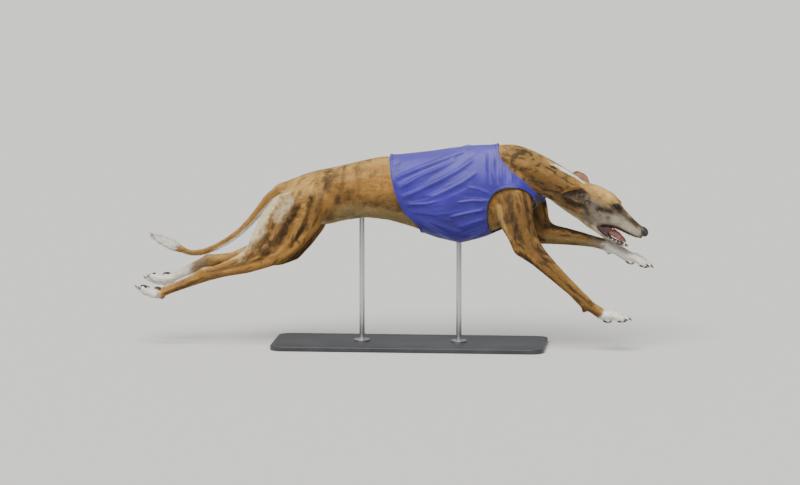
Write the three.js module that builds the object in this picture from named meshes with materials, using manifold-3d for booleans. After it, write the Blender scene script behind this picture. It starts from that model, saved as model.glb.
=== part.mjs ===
// A life-size racing greyhound in full stretch, with all four feet off the ground, wearing a close racing jacket
// and carried on a plain display stand. Millimetres, +Z up, the nose points along +X and the left side is +Y.
import * as THREE from "three";
import { mergeVertices } from "three/addons/utils/BufferGeometryUtils.js";
import Module from "manifold-3d";

const wasm = await Module();
wasm.setup();

// Driving dimensions
const GAP = 0.4; // clear space between two pieces that meet
const HEAD_PITCH = 40; // degrees the head points below the horizon
const HEAD_ROLL = 4; // degrees the crown leans towards the right side
const OCCIPUT = [568, 0, 502]; // the back of the skull, where the head frame starts
const EYE_RADIUS = 11;
const EYE_PLACE = { u: 114, v: 8, y: 23.5 }; // in the head frame
const TOE_SPREAD = [-19, -6.6, 6.6, 19]; // how far each toe stands from the paw's middle
const TOE_LENGTH = [60, 72, 72, 60];
const CLAW_LENGTH = 13;
const JACKET_CLEAR = 0.7; // between coat and cloth
const JACKET_THICK = 3;
const PLATE = { length: 820, width: 300, thick: 14, corner: 40, x: 40 };
const ROD_RADIUS = 8;
const COLLAR = { radius: 24, height: 16 };

// A station is one cross-section, named for its place on the body. In side view it runs from back [x, z] to
// front [x, z]. It stands at y from the midline and reaches `side` to each side. `widest` is where along the
// section it is widest, from 0 at the back to 1 at the front, and frontFull and backFull say how full each
// end is: 2 is round, less is pointed and more is square.
function station(name, front, back, y, side, { widest = 0.5, frontFull = 2, backFull = 2 } = {}) {
  return { name, front, back, y, side, widest, frontFull, backFull };
}

const smooth = (points) => new THREE.CatmullRomCurve3(points, false, "catmullrom", 0.5);

const centreOf = (ring) => ring.reduce((sum, p) => sum.add(p), new THREE.Vector3()).divideScalar(ring.length);

// Moves a ring along the chain, square to its own plane: inwards where distance is positive.
function shift(ring, inner, distance) {
  const normal = new THREE.Vector3()
    .crossVectors(ring[0].clone().sub(ring[1]), ring[2].clone().sub(ring[1]))
    .normalize();
  const towards = centreOf(inner).sub(centreOf(ring));
  normal.multiplyScalar(Math.sign(normal.dot(towards)) * distance);
  ring.forEach((p) => p.add(normal));
}

// Cross-sections interpolated between stations, each ring a loop of points round the body.
function ringsOf(stations, { sides, steps, grow = 0 }) {
  const front = smooth(stations.map((s) => new THREE.Vector3(s.front[0], s.y, s.front[1])));
  const back = smooth(stations.map((s) => new THREE.Vector3(s.back[0], s.y, s.back[1])));
  const shape = smooth(stations.map((s) => new THREE.Vector3(s.side, s.widest, 0)));
  const full = smooth(stations.map((s) => new THREE.Vector3(s.frontFull, s.backFull, 0)));
  const count = (stations.length - 1) * steps;
  const rings = Array.from({ length: count + 1 }, (_, i) => {
    const t = i / count;
    const f = front.getPoint(t);
    const b = back.getPoint(t);
    const { x: side, y: widest } = shape.getPoint(t);
    const { x: frontFull, y: backFull } = full.getPoint(t);
    const along = f.clone().sub(b).normalize();
    f.addScaledVector(along, grow);
    b.addScaledVector(along, -grow);
    const middle = b.clone().lerp(f, widest);
    return Array.from({ length: sides }, (_, k) => {
      const angle = (2 * Math.PI * k) / sides;
      const across = Math.cos(angle);
      const up = Math.sin(angle);
      const power = 2 / (up > 0 ? frontFull : backFull);
      const reach = Math.abs(up) ** power;
      return middle
        .clone()
        .lerp(up > 0 ? f : b, reach)
        .add(new THREE.Vector3(0, Math.sign(across) * Math.abs(across) ** power * (side + grow), 0));
    });
  });
  if (grow) {
    shift(rings[0], rings[1], -grow);
    shift(rings.at(-1), rings.at(-2), -grow);
  }
  return rings;
}

// A closed skin over a run of rings, with a flat fan over each end.
function skinOf(rings) {
  const sides = rings[0].length;
  const points = [...rings.flat(), centreOf(rings[0]), centreOf(rings.at(-1))];
  const first = rings.length * sides;
  const index = [];
  for (let i = 0; i < rings.length - 1; i += 1) {
    for (let k = 0; k < sides; k += 1) {
      const a = i * sides + k;
      const b = i * sides + ((k + 1) % sides);
      index.push(a, b, b + sides, a, b + sides, a + sides);
    }
  }
  for (let k = 0; k < sides; k += 1) {
    const next = (k + 1) % sides;
    index.push(first, next, k);
    index.push(first + 1, first - sides + k, first - sides + next);
  }
  const geometry = new THREE.BufferGeometry().setFromPoints(points);
  geometry.setIndex(index);
  return geometry;
}

// Turns a geometry into a solid, with its faces pointing outwards.
function solid(geometry) {
  const bare = geometry.clone();
  bare.deleteAttribute("normal");
  bare.deleteAttribute("uv");
  const merged = mergeVertices(bare, 1e-4);
  const triangles = new Uint32Array(merged.index.array);
  const make = () =>
    new wasm.Manifold(
      new wasm.Mesh({ numProp: 3, vertProperties: merged.attributes.position.array, triVerts: triangles }),
    );
  const made = make();
  if (made.volume() > 0) return made;
  for (let i = 0; i < triangles.length; i += 3) {
    [triangles[i + 1], triangles[i + 2]] = [triangles[i + 2], triangles[i + 1]];
  }
  return make();
}

const cut = (body, ...tools) => tools.reduce((left, tool) => left.subtract(tool), body);
const join = (...bodies) => bodies.reduce((all, body) => all.add(body));
const biggest = (body) => body.decompose().reduce((a, b) => (b.volume() > a.volume() ? b : a));

// The lengths of a chain between two named stations. Where the chain goes on past a named end, the end is
// drawn back by half the gap, so that neighbours meet face to face.
function lengthOf(stations, options, from, to) {
  const rings = ringsOf(stations, options);
  const at = (name) => stations.findIndex((s) => s.name === name) * options.steps;
  const start = at(from);
  const end = at(to);
  const run = rings.slice(start, end + 1).map((ring) => ring.map((p) => p.clone()));
  if (start > 0) shift(run[0], run[1], GAP / 2);
  if (end < rings.length - 1) shift(run.at(-1), run.at(-2), GAP / 2);
  return solid(skinOf(run));
}

const wholeOf = (stations, options) => solid(skinOf(ringsOf(stations, options)));

// The trunk and neck, from the rump to the back of the skull. Front is the topline and back the underline.
const SPINE = [
  station("rump_end", [-339, 476], [-348, 444], 0, 22),
  station("ischium", [-321, 496], [-316, 404], 0, 50),
  station("croup", [-285, 517], [-252, 368], 0, 64),
  station("hip", [-236, 531], [-206, 364], 0, 70, { widest: 0.55 }),
  station("loin_rear", [-176, 543], [-155, 377], 0, 64, { widest: 0.6 }),
  station("waist", [-110, 560], [-92, 386], 0, 61, { widest: 0.6 }),
  station("loin_front", [-50, 573], [-23, 379], 0, 67, { widest: 0.58 }),
  station("last_rib", [11, 576], [47, 360], 0, 78, { widest: 0.56 }),
  station("ribs", [86, 585], [119, 333], 0, 88, { widest: 0.54, backFull: 1.9 }),
  station("chest", [161, 597], [191, 316], 0, 89, { widest: 0.52, backFull: 1.8 }),
  station("girth", [227, 606], [267, 335], 0, 80, { widest: 0.5, backFull: 1.8 }),
  station("shoulder", [282, 608], [345, 371], 0, 66, { widest: 0.45, backFull: 1.9 }),
  station("neck_base", [327, 615], [406, 414], 0, 57, { widest: 0.42 }),
  station("neck_low", [363, 612], [436, 455], 0, 52, { widest: 0.45 }),
  station("neck_mid", [411, 595], [462, 445], 0, 47),
  station("neck_high", [462, 570], [484, 427], 0, 44),
  station("nape", [507, 543], [511, 407], 0, 43),
  station("occiput", [547, 518], [541, 389], 0, 41),
  station("in_head", [572, 496], [570, 394], 0, 34),
];
const SPINE_MESH = { sides: 18, steps: 1 };

// The tail, from its root to the white tip. Each row is [x, z, radius].
const TAIL_LINE = [
  [-303, 484, 21],
  [-348, 470, 19],
  [-384, 441, 16.5],
  [-413, 406, 14],
  [-441, 373, 12],
  [-471, 343, 11],
  [-507, 316, 10.5],
  [-544, 295, 10],
  [-580, 280, 9.5],
  [-616, 275, 9],
  [-649, 285, 9],
  [-676, 298, 9.5],
  [-706, 312, 8.5],
  [-733, 325, 3.5],
];
const TAIL_PARTS = { tail_root: [0, 4], tail_middle: [4, 9], tail_tip: [9, 13] };

function tailStations() {
  return TAIL_LINE.map(([x, z, radius], i) => {
    const [x0, z0] = TAIL_LINE[Math.max(i - 1, 0)];
    const [x1, z1] = TAIL_LINE[Math.min(i + 1, TAIL_LINE.length - 1)];
    const length = Math.hypot(x1 - x0, z1 - z0);
    const normal = [((z1 - z0) / length) * -radius, ((x1 - x0) / length) * radius];
    return station(`tail_${i}`, [x - normal[0], z - normal[1]], [x + normal[0], z + normal[1]], 0, radius * 0.9);
  });
}

// Girths shared by the two forelegs, and by the two hind legs: how far each section reaches to the side.
const FORE_SIDE = {
  scapula_top: 8, scapula: 24, shoulder: 29, brachium: 31, triceps: 30, above_elbow: 25, elbow: 21,
  forearm_high: 20, forearm_mid: 16.5, forearm_low: 14.5, carpus: 17.5, pastern: 16, knuckle: 20,
};
const HIND_SIDE = {
  hip_top: 20, hip: 36, thigh_high: 38, thigh_mid: 34, thigh_low: 29, stifle: 25, gaskin_high: 22,
  gaskin_mid: 18, gaskin_low: 14, hock: 16, below_hock: 14, metatarsus: 13, knuckle: 18,
};
const FORE_FORM = {
  forearm_mid: { widest: 0.55 },
  forearm_low: { widest: 0.55 },
};
const HIND_FORM = {
  thigh_mid: { widest: 0.55, backFull: 1.8 },
  thigh_low: { widest: 0.6, backFull: 1.7 },
  stifle: { widest: 0.6, backFull: 1.6 },
  gaskin_high: { widest: 0.6, backFull: 1.6 },
  gaskin_mid: { widest: 0.6, backFull: 1.6 },
  gaskin_low: { widest: 0.6, backFull: 1.5 },
};

// Where each leg's sections lie in this stride: name, front [x, z], back [x, z], y.
const RIGHT_FORE = [
  ["scapula_top", [306, 585], [228, 566], -26],
  ["scapula", [352, 534], [257, 503], -50],
  ["shoulder", [404, 477], [288, 446], -60],
  ["brachium", [415, 429], [298, 414], -63],
  ["triceps", [416, 388], [314, 371], -66],
  ["above_elbow", [429, 342], [338, 334], -69],
  ["elbow", [453, 304], [356, 292], -71],
  ["forearm_high", [484, 266], [405, 262], -70],
  ["forearm_mid", [525, 221], [461, 218], -67],
  ["forearm_low", [564, 181], [515, 173], -64],
  ["carpus", [598, 147], [557, 130], -62],
  ["pastern", [620, 132], [590, 111], -60],
  ["knuckle", [636, 120], [620, 92], -58],
];
const LEFT_FORE = [
  ["scapula_top", [320, 583], [240, 570], 26],
  ["scapula", [381, 534], [272, 502], 50],
  ["shoulder", [447, 448], [315, 428], 60],
  ["brachium", [454, 410], [330, 386], 62],
  ["triceps", [455, 390], [345, 346], 64],
  ["above_elbow", [460, 375], [362, 318], 66],
  ["elbow", [478, 364], [396, 304], 66],
  ["forearm_high", [507, 357], [457, 304], 64],
  ["forearm_mid", [550, 346], [530, 301], 60],
  ["forearm_low", [599, 332], [583, 297], 56],
  ["carpus", [632, 324], [620, 288], 54],
  ["pastern", [666, 308], [650, 278], 52],
  ["knuckle", [702, 287], [687, 256], 50],
];
const RIGHT_HIND = [
  ["hip_top", [-212, 506], [-296, 492], -34],
  ["hip", [-183, 455], [-366, 452], -56],
  ["thigh_high", [-197, 408], [-399, 409], -61],
  ["thigh_mid", [-230, 354], [-423, 361], -64],
  ["thigh_low", [-275, 302], [-438, 325], -67],
  ["stifle", [-323, 262], [-453, 297], -69],
  ["gaskin_high", [-375, 242], [-477, 279], -68],
  ["gaskin_mid", [-435, 224], [-511, 260], -65],
  ["gaskin_low", [-508, 211], [-544, 246], -62],
  ["hock", [-563, 196], [-577, 240], -60],
  ["below_hock", [-611, 180], [-623, 212], -58],
  ["metatarsus", [-671, 159], [-682, 185], -56],
  ["knuckle", [-710, 144], [-720, 170], -54],
];
const LEFT_HIND = [
  ["hip_top", [-214, 502], [-300, 487], 34],
  ["hip", [-184, 450], [-372, 446], 56],
  ["thigh_high", [-197, 397], [-404, 400], 61],
  ["thigh_mid", [-221, 346], [-423, 356], 64],
  ["thigh_low", [-255, 300], [-438, 325], 67],
  ["stifle", [-300, 251], [-454, 301], 69],
  ["gaskin_high", [-351, 231], [-477, 287], 68],
  ["gaskin_mid", [-432, 225], [-510, 272], 65],
  ["gaskin_low", [-507, 229], [-546, 268], 61],
  ["hock", [-561, 223], [-579, 266], 58],
  ["below_hock", [-604, 212], [-621, 243], 55],
  ["metatarsus", [-656, 191], [-669, 217], 52],
  ["knuckle", [-692, 176], [-705, 201], 50],
];
const LEG_MESH = { sides: 12, steps: 1 };

const legStations = (places, sides, forms) =>
  places.map(([name, front, back, y]) => station(name, front, back, y, sides[name], forms[name]));

// The head, in its own frame: u runs from the occiput to the nose, v up from that line. Front is the top.
const SKULL = [
  station("nape_end", [-10, -16], [-10, -74], 0, 27),
  station("crest", [8, 1], [6, -92], 0, 40, { widest: 0.62, backFull: 1.8 }),
  station("braincase", [32, 15], [32, -104], 0, 45, { widest: 0.64, backFull: 1.7 }),
  station("cheek", [58, 21], [58, -105], 0, 47.5, { widest: 0.62, frontFull: 2.2, backFull: 1.7 }),
  station("brow", [84, 25], [86, -102], 0, 46.5, { widest: 0.6, frontFull: 2.5, backFull: 1.7 }),
  station("eye", [106, 22], [110, -90], 0, 38, { widest: 0.55, frontFull: 3, backFull: 1.9 }),
  station("stop", [124, 17], [126, -72], 0, 31, { widest: 0.5, frontFull: 2.7 }),
  station("muzzle_root", [142, 11.5], [142, -59], 0, 27, { widest: 0.45, frontFull: 2.4 }),
  station("muzzle", [166, 8], [166, -49], 0, 24, { widest: 0.42, frontFull: 2.3 }),
  station("muzzle_mid", [190, 6.5], [190, -43], 0, 22, { widest: 0.4, frontFull: 2.2 }),
  station("canine", [212, 6], [212, -36], 0, 20, { widest: 0.4 }),
  station("lip_front", [227, 4], [227, -29], 0, 16.5, { widest: 0.42 }),
  station("lip_end", [236, -2], [236, -23], 0, 10.5),
];
const JAW = [
  station("jaw_branch", [76, -80], [70, -103], 0, 27),
  station("jaw_back", [104, -71], [98, -101], 0, 30),
  station("lip_corner", [128, -78], [127, -97], 0, 21),
  station("jaw_mid", [151, -79], [151, -95], 0, 18),
  station("premolars", [176, -75], [177, -90], 0, 16.5),
  station("canines", [198, -68], [200, -82], 0, 15),
  station("chin", [213, -63.5], [214, -75], 0, 12),
  station("jaw_tip", [221, -62], [222, -69], 0, 6),
];
const TONGUE = [
  station("tongue_root", [122, -72], [120, -79], 0, 10),
  station("tongue_back", [138, -66], [136, -79], 0, 14),
  station("tongue_mid", [158, -64], [158, -80], 0, 13.5),
  station("tongue_front", [180, -62], [182, -76], 0, 12.5),
  station("tongue_end", [198, -59], [199, -68], 0, 11),
  station("tongue_tip", [207, -60], [207, -64], 0, 6),
];
// Canine teeth: where each root sits, how far it reaches and which way it points. [u, y, v]
const UPPER_CANINES = { root: [203, 13.5, -36], reach: 16, points: -1 };
const LOWER_CANINES = { root: [209, 10.5, -70], reach: 16, points: 1 };
const CANINE_RADIUS = 3.4;
const HEAD_MESH = { sides: 18, steps: 1 };
const JAW_MESH = { sides: 10, steps: 1 };
const NOSE = { u: 233, v: -6, y: 0, size: [11, 13.5, 11] };

const headFrame = new THREE.Matrix4()
  .makeTranslation(...OCCIPUT)
  .multiply(new THREE.Matrix4().makeRotationY(THREE.MathUtils.degToRad(HEAD_PITCH)))
  .multiply(new THREE.Matrix4().makeRotationX(THREE.MathUtils.degToRad(HEAD_ROLL)));

// A ball squashed to three half sizes, in the frame given.
function ball(frame, [x, y, z], [rx, ry, rz], across = 10, down = 7) {
  const geometry = new THREE.SphereGeometry(1, across, down);
  geometry.scale(rx, ry, rz);
  geometry.translate(x, y, z);
  return solid(geometry.applyMatrix4(frame));
}

const inFrame = (frame, stations, options) => solid(skinOf(ringsOf(stations, options)).applyMatrix4(frame));

// A canine tooth, a slim cone curving back, on the side given.
function canineSolid({ root: [u, y, v], reach, points }, sideSign) {
  const cone = new THREE.ConeGeometry(CANINE_RADIUS, reach, 8, 1);
  cone.rotateX((Math.PI / 2) * points);
  cone.translate(u, y * sideSign, v + (points * reach) / 2);
  return solid(cone.applyMatrix4(headFrame));
}

// An ear folded back on the neck: a thin shell, hollow on the side that `opens` faces.
const NEAR_EAR = {
  line: [
    { place: [32, -38, -28], half: 13, cup: 7 },
    { place: [15, -51, -33], half: 19, cup: 9 },
    { place: [-4, -58, -39], half: 22, cup: 10 },
    { place: [-19, -59, -49], half: 17, cup: 7 },
    { place: [-30, -56, -61], half: 10, cup: 4 },
    { place: [-37, -53, -73], half: 3, cup: 1 },
  ],
  opens: [0.3, -0.88, 0.36],
};
const FAR_EAR = {
  line: [
    { place: [22, 33, -22], half: 13, cup: 7 },
    { place: [7, 44, -13], half: 18, cup: 10 },
    { place: [-11, 51, -7], half: 20, cup: 10 },
    { place: [-28, 55, -13], half: 17, cup: 8 },
    { place: [-41, 56, -26], half: 10, cup: 4 },
    { place: [-49, 55, -40], half: 3, cup: 1 },
  ],
  opens: [0.35, -0.4, 0.85],
};
const EAR_THICK = 3.2;

function earSolid(ear) {
  const opens = new THREE.Vector3(...ear.opens).normalize();
  const line = smooth(ear.line.map((e) => new THREE.Vector3(...e.place)));
  const sizes = smooth(ear.line.map((e) => new THREE.Vector3(e.half, e.cup, 0)));
  const count = ear.line.length - 1;
  const spread = [-1, -0.75, -0.4, 0, 0.4, 0.75, 1];
  const rings = Array.from({ length: count + 1 }, (_, i) => {
    const t = i / count;
    const across = new THREE.Vector3().crossVectors(line.getTangent(t), opens).normalize();
    const { x: half, y: cup } = sizes.getPoint(t);
    const point = (s, depth) =>
      line
        .getPoint(t)
        .addScaledVector(across, half * s)
        .addScaledVector(opens, -cup * (1 - s * s) - depth);
    return [...spread.map((s) => point(s, 0)), ...[...spread].reverse().map((s) => point(s, EAR_THICK))];
  });
  return solid(skinOf(rings).applyMatrix4(headFrame));
}

// A paw, in its own frame: x towards the toes, z to the back of the paw, the origin at the knuckle joint.
function toeStations(i) {
  const y = TOE_SPREAD[i];
  const length = TOE_LENGTH[i];
  const at = (share) => length * share;
  return [
    station("root", [at(-0.22), 10], [at(-0.22), -6], y * 0.55, 8),
    station("knuckle", [at(0.12), 15], [at(0.12), -7], y * 0.85, 9.3),
    station("bend", [at(0.42), 16], [at(0.38), -9], y, 9.6),
    station("last_joint", [at(0.72), 11], [at(0.66), -17], y * 1.03, 9),
    station("end", [at(0.94), 4], [at(0.87), -15], y * 1.05, 7.6),
    station("tip", [at(1.0), -2], [at(0.98), -8], y * 1.05, 3.4),
  ];
}

const TOE_MESH = { sides: 6, steps: 1 };

function pawSolid(frame, padSize) {
  const toes = TOE_SPREAD.map((_, i) => inFrame(frame, toeStations(i), TOE_MESH));
  const palm = [
    station("wrist_side", [-10, 14], [-10, -13], 0, 15),
    station("palm", [8, 14], [8, -12], 0, 23),
    station("web", [34, 9], [30, -8], 0, 22),
  ];
  const sole = ball(frame, [9, 0, -13], padSize, 8, 6);
  return join(inFrame(frame, palm, TOE_MESH), ...toes, sole);
}

function clawSolid(frame, i, grow = 0) {
  const x = TOE_LENGTH[i] * 0.95;
  const y = TOE_SPREAD[i] * 1.05;
  const claw = [
    station("root", [x - 5, 1], [x - 6, -6], y, 2.6),
    station("middle", [x + CLAW_LENGTH * 0.5, -1], [x + CLAW_LENGTH * 0.4, -7.5], y, 2.2),
    station("tip", [x + CLAW_LENGTH * 0.94, -8], [x + CLAW_LENGTH * 0.86, -10], y, 0.8),
  ];
  return inFrame(frame, claw, { sides: 5, steps: 1, grow });
}

// The paw's frame, from where its knuckle joint is, where the toes point and which way its back faces.
function pawFrame(origin, toes, back) {
  const x = new THREE.Vector3(...toes).normalize();
  const y = new THREE.Vector3().crossVectors(new THREE.Vector3(...back), x).normalize();
  const z = new THREE.Vector3().crossVectors(x, y);
  return new THREE.Matrix4().makeBasis(x, y, z).setPosition(...origin);
}

const world = new THREE.Matrix4();
const CARPAL_PAD = [8, 7, 7];

const LEGS = [
  {
    name: "right_fore",
    stations: legStations(RIGHT_FORE, FORE_SIDE, FORE_FORM),
    paw: pawFrame([629, -58, 107], [0.995, 0.02, -0.05], [0.05, 0, 1]),
    carpalPad: [564, -62, 121],
    parts: { shoulder: ["scapula_top", "above_elbow"], forearm: ["above_elbow", "carpus"], pastern: ["carpus", "knuckle"] },
    pad: [15, 17, 8],
  },
  {
    name: "left_fore",
    stations: legStations(LEFT_FORE, FORE_SIDE, FORE_FORM),
    paw: pawFrame([695, 49, 272], [0.95, -0.02, -0.31], [0.31, 0, 0.95]),
    carpalPad: [632, 54, 281],
    parts: { shoulder: ["scapula_top", "above_elbow"], forearm: ["above_elbow", "carpus"], pastern: ["carpus", "knuckle"] },
    pad: [15, 17, 8],
  },
  {
    name: "right_hind",
    stations: legStations(RIGHT_HIND, HIND_SIDE, HIND_FORM),
    paw: pawFrame([-709, -54, 155], [-0.97, 0, 0.22], [-0.22, -0.12, -0.96]),
    parts: { thigh: ["hip_top", "thigh_low"], gaskin: ["thigh_low", "hock"], metatarsus: ["hock", "knuckle"] },
    pad: [14, 15, 7.5],
  },
  {
    name: "left_hind",
    stations: legStations(LEFT_HIND, HIND_SIDE, HIND_FORM),
    paw: pawFrame([-694, 49, 188], [-0.99, 0, -0.02], [0.02, -0.35, -0.94]),
    parts: { thigh: ["hip_top", "thigh_low"], gaskin: ["thigh_low", "hock"], metatarsus: ["hock", "knuckle"] },
    pad: [14, 15, 7.5],
  },
];

const nodes = new Map(); // name to { body, material }
const MATERIALS = {
  coat: new THREE.MeshStandardMaterial({ color: 0xa57c4c, roughness: 0.75, metalness: 0 }),
  white_coat: new THREE.MeshStandardMaterial({ color: 0xded8cf, roughness: 0.75, metalness: 0 }),
  eye: new THREE.MeshStandardMaterial({ color: 0x2a1a10, roughness: 0.1, metalness: 0 }),
  nose: new THREE.MeshStandardMaterial({ color: 0x17171a, roughness: 0.45, metalness: 0 }),
  tongue: new THREE.MeshStandardMaterial({ color: 0xb8757a, roughness: 0.4, metalness: 0 }),
  claw: new THREE.MeshStandardMaterial({ color: 0x4a4038, roughness: 0.4, metalness: 0 }),
  jacket_cloth: new THREE.MeshStandardMaterial({ color: 0x3b40b4, roughness: 0.6, metalness: 0 }),
  stand_plate: new THREE.MeshStandardMaterial({ color: 0x3a3c40, roughness: 0.5, metalness: 0.2 }),
  stand_steel: new THREE.MeshStandardMaterial({ color: 0xb4b7ba, roughness: 0.3, metalness: 1 }),
};
const keep = (name, body, material) => nodes.set(name, { body: biggest(body), material });

// Each leg's chain at its true size, and grown by the gap to clear room in what it joins.
const legWhole = (leg, grow) => wholeOf(leg.stations, { ...LEG_MESH, grow });
const legsGrown = LEGS.map((leg) => legWhole(leg, GAP));

function addLegs() {
  LEGS.forEach((leg) => {
    Object.entries(leg.parts).forEach(([part, [from, to]]) => {
      const length = lengthOf(leg.stations, LEG_MESH, from, to);
      const pad = part === "pastern" ? [ball(world, leg.carpalPad, CARPAL_PAD, 8, 6)] : [];
      keep(`${leg.name}_${part}`, join(length, ...pad), MATERIALS.coat);
    });
    const shank = wholeOf(leg.stations, { ...LEG_MESH, grow: GAP });
    const claws = TOE_SPREAD.map((_, i) => clawSolid(leg.paw, i));
    const clawRooms = TOE_SPREAD.map((_, i) => clawSolid(leg.paw, i, GAP));
    const paw = biggest(cut(pawSolid(leg.paw, leg.pad), shank));
    keep(`${leg.name}_paw`, cut(paw, ...clawRooms), MATERIALS.white_coat);
    claws.forEach((claw, i) => keep(`${leg.name}_claw_${i + 1}`, claw, MATERIALS.claw));
  });
}

// The tail's lengths clear the trunk, which they grow out of.
function addTail(trunkGrown) {
  const stations = tailStations();
  Object.entries(TAIL_PARTS).forEach(([name, [from, to]]) => {
    const body = lengthOf(stations, { sides: 10, steps: 1 }, `tail_${from}`, `tail_${to}`);
    keep(name, cut(body, trunkGrown), MATERIALS.coat);
  });
}

function addHead() {
  const skull = inFrame(headFrame, SKULL, HEAD_MESH);
  const skullGrown = inFrame(headFrame, SKULL, { ...HEAD_MESH, grow: GAP });
  const eyes = [-1, 1].map((s) => [EYE_PLACE.u, EYE_PLACE.y * s, EYE_PLACE.v]);
  const eyeBall = (place, radius) => ball(headFrame, place, [radius, radius, radius]);
  const nose = ball(headFrame, [NOSE.u, NOSE.y, NOSE.v], NOSE.size);
  const noseRoom = ball(headFrame, [NOSE.u, NOSE.y, NOSE.v], NOSE.size.map((r) => r + GAP));
  const jaw = inFrame(headFrame, JAW, JAW_MESH);
  const jawGrown = inFrame(headFrame, JAW, { ...JAW_MESH, grow: GAP });
  const tongue = inFrame(headFrame, TONGUE, JAW_MESH);
  const neckGrown = wholeOf(SPINE, { ...SPINE_MESH, grow: GAP });
  const ears = [NEAR_EAR, FAR_EAR].map(earSolid);
  const sockets = eyes.map((place) => eyeBall(place, EYE_RADIUS + GAP));
  const upperCanines = [-1, 1].map((s) => canineSolid(UPPER_CANINES, s));
  const lowerCanines = [-1, 1].map((s) => canineSolid(LOWER_CANINES, s));
  keep("head", cut(join(skull, ...upperCanines), ...sockets, noseRoom), MATERIALS.coat);
  keep("lower_jaw", join(cut(jaw, skullGrown, neckGrown), ...lowerCanines), MATERIALS.coat);
  keep("tongue", cut(tongue, jawGrown, skullGrown), MATERIALS.tongue);
  keep("nose", nose, MATERIALS.nose);
  eyes.forEach((place, i) => keep(["right_eye", "left_eye"][i], eyeBall(place, EYE_RADIUS), MATERIALS.eye));
  ears.forEach((ear, i) => keep(["right_ear", "left_ear"][i], cut(ear, skullGrown, neckGrown), MATERIALS.coat));
  return { skullGrown };
}

function addTrunk({ skullGrown }) {
  const parts = {
    rump: ["rump_end", "loin_rear"],
    loin: ["loin_rear", "last_rib"],
    chest: ["last_rib", "neck_base"],
    neck: ["neck_base", "in_head"],
  };
  Object.entries(parts).forEach(([name, [from, to]]) => {
    const body = lengthOf(SPINE, SPINE_MESH, from, to);
    keep(name, cut(body, ...legsGrown, skullGrown), MATERIALS.coat);
  });
}

// A prism across the body, from its outline in side view, between two distances from the midline.
function acrossBody(outline, yFrom, yTo) {
  const shape = new THREE.Shape();
  outline(shape);
  const geometry = new THREE.ExtrudeGeometry(shape, { depth: yTo - yFrom, bevelEnabled: false, curveSegments: 8 });
  geometry.rotateX(Math.PI / 2);
  geometry.translate(0, yTo, 0);
  return solid(geometry);
}

// The jacket's side view: its rear hem slants back to front down the ribs, and its neckline runs from the
// withers down to the breastbone.
function jacketOutline(shape) {
  shape.moveTo(-22, 640);
  shape.lineTo(-16, 566);
  shape.bezierCurveTo(-5, 500, 10, 420, 70, 372);
  shape.lineTo(88, 300);
  shape.lineTo(200, 260);
  shape.lineTo(470, 330);
  shape.lineTo(452, 428);
  shape.bezierCurveTo(390, 455, 330, 520, 312, 590);
  shape.lineTo(306, 640);
  shape.closePath();
}

// A jacket's armhole, round the upper arm.
const ARMHOLES = {
  right: { x: 352, z: 400, halfX: 70, halfZ: 84, from: -140, to: -26 },
  left: { x: 384, z: 396, halfX: 72, halfZ: 84, from: 26, to: 140 },
};

function addJacket() {
  const layer = (grow) =>
    join(wholeOf(SPINE, { ...SPINE_MESH, grow }), legWhole(LEGS[0], grow), legWhole(LEGS[1], grow));
  const shell = layer(JACKET_CLEAR + JACKET_THICK).subtract(layer(JACKET_CLEAR));
  const cloth = shell.intersect(acrossBody(jacketOutline, -150, 150));
  const holes = Object.values(ARMHOLES).map(({ x, z, halfX, halfZ, from, to }) =>
    acrossBody((shape) => shape.absellipse(x, z, halfX, halfZ, 0, 2 * Math.PI), from, to),
  );
  keep("jacket", cut(cloth, ...holes), MATERIALS.jacket_cloth);
}

const RODS = { stand_rod_front: [188, 330], stand_rod_rear: [-104, 410] };

function addStand() {
  const plate = new THREE.Shape();
  const [w, h, r] = [PLATE.length / 2, PLATE.width / 2, PLATE.corner];
  plate.moveTo(-w + r, -h);
  plate.lineTo(w - r, -h);
  plate.absarc(w - r, -h + r, r, -Math.PI / 2, 0);
  plate.absarc(w - r, h - r, r, 0, Math.PI / 2);
  plate.absarc(-w + r, h - r, r, Math.PI / 2, Math.PI);
  plate.absarc(-w + r, -h + r, r, Math.PI, 1.5 * Math.PI);
  const board = new THREE.ExtrudeGeometry(plate, { depth: PLATE.thick, bevelEnabled: false, curveSegments: 6 });
  keep("stand_base", solid(board.translate(PLATE.x, 0, 0)), MATERIALS.stand_plate);
  const bodyRoom = wholeOf(SPINE, { ...SPINE_MESH, grow: GAP });
  const jacketRoom = wholeOf(SPINE, { ...SPINE_MESH, grow: JACKET_CLEAR + JACKET_THICK + GAP });
  Object.entries(RODS).forEach(([name, [x, top]]) => {
    const foot = PLATE.thick + GAP;
    const rod = new THREE.CylinderGeometry(ROD_RADIUS, ROD_RADIUS, top - foot, 16);
    rod.rotateX(Math.PI / 2);
    rod.translate(x, 0, (top + foot) / 2);
    const room = name.endsWith("front") ? jacketRoom : bodyRoom;
    keep(name, solid(rod).subtract(room), MATERIALS.stand_steel);
    const bore = ROD_RADIUS + GAP;
    const profile = [
      [bore, 0],
      [COLLAR.radius, 0],
      [COLLAR.radius, COLLAR.height * 0.35],
      [COLLAR.radius * 0.55, COLLAR.height],
      [bore, COLLAR.height],
      [bore, 0],
    ].map(([px, py]) => new THREE.Vector2(px, py));
    const collar = new THREE.LatheGeometry(profile, 16);
    collar.rotateX(Math.PI / 2);
    collar.translate(x, 0, foot);
    keep(name.replace("rod", "collar"), solid(collar), MATERIALS.stand_steel);
  });
}

addLegs();
addTrunk(addHead());
addTail(wholeOf(SPINE, { ...SPINE_MESH, grow: GAP }));
addJacket();
addStand();

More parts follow.
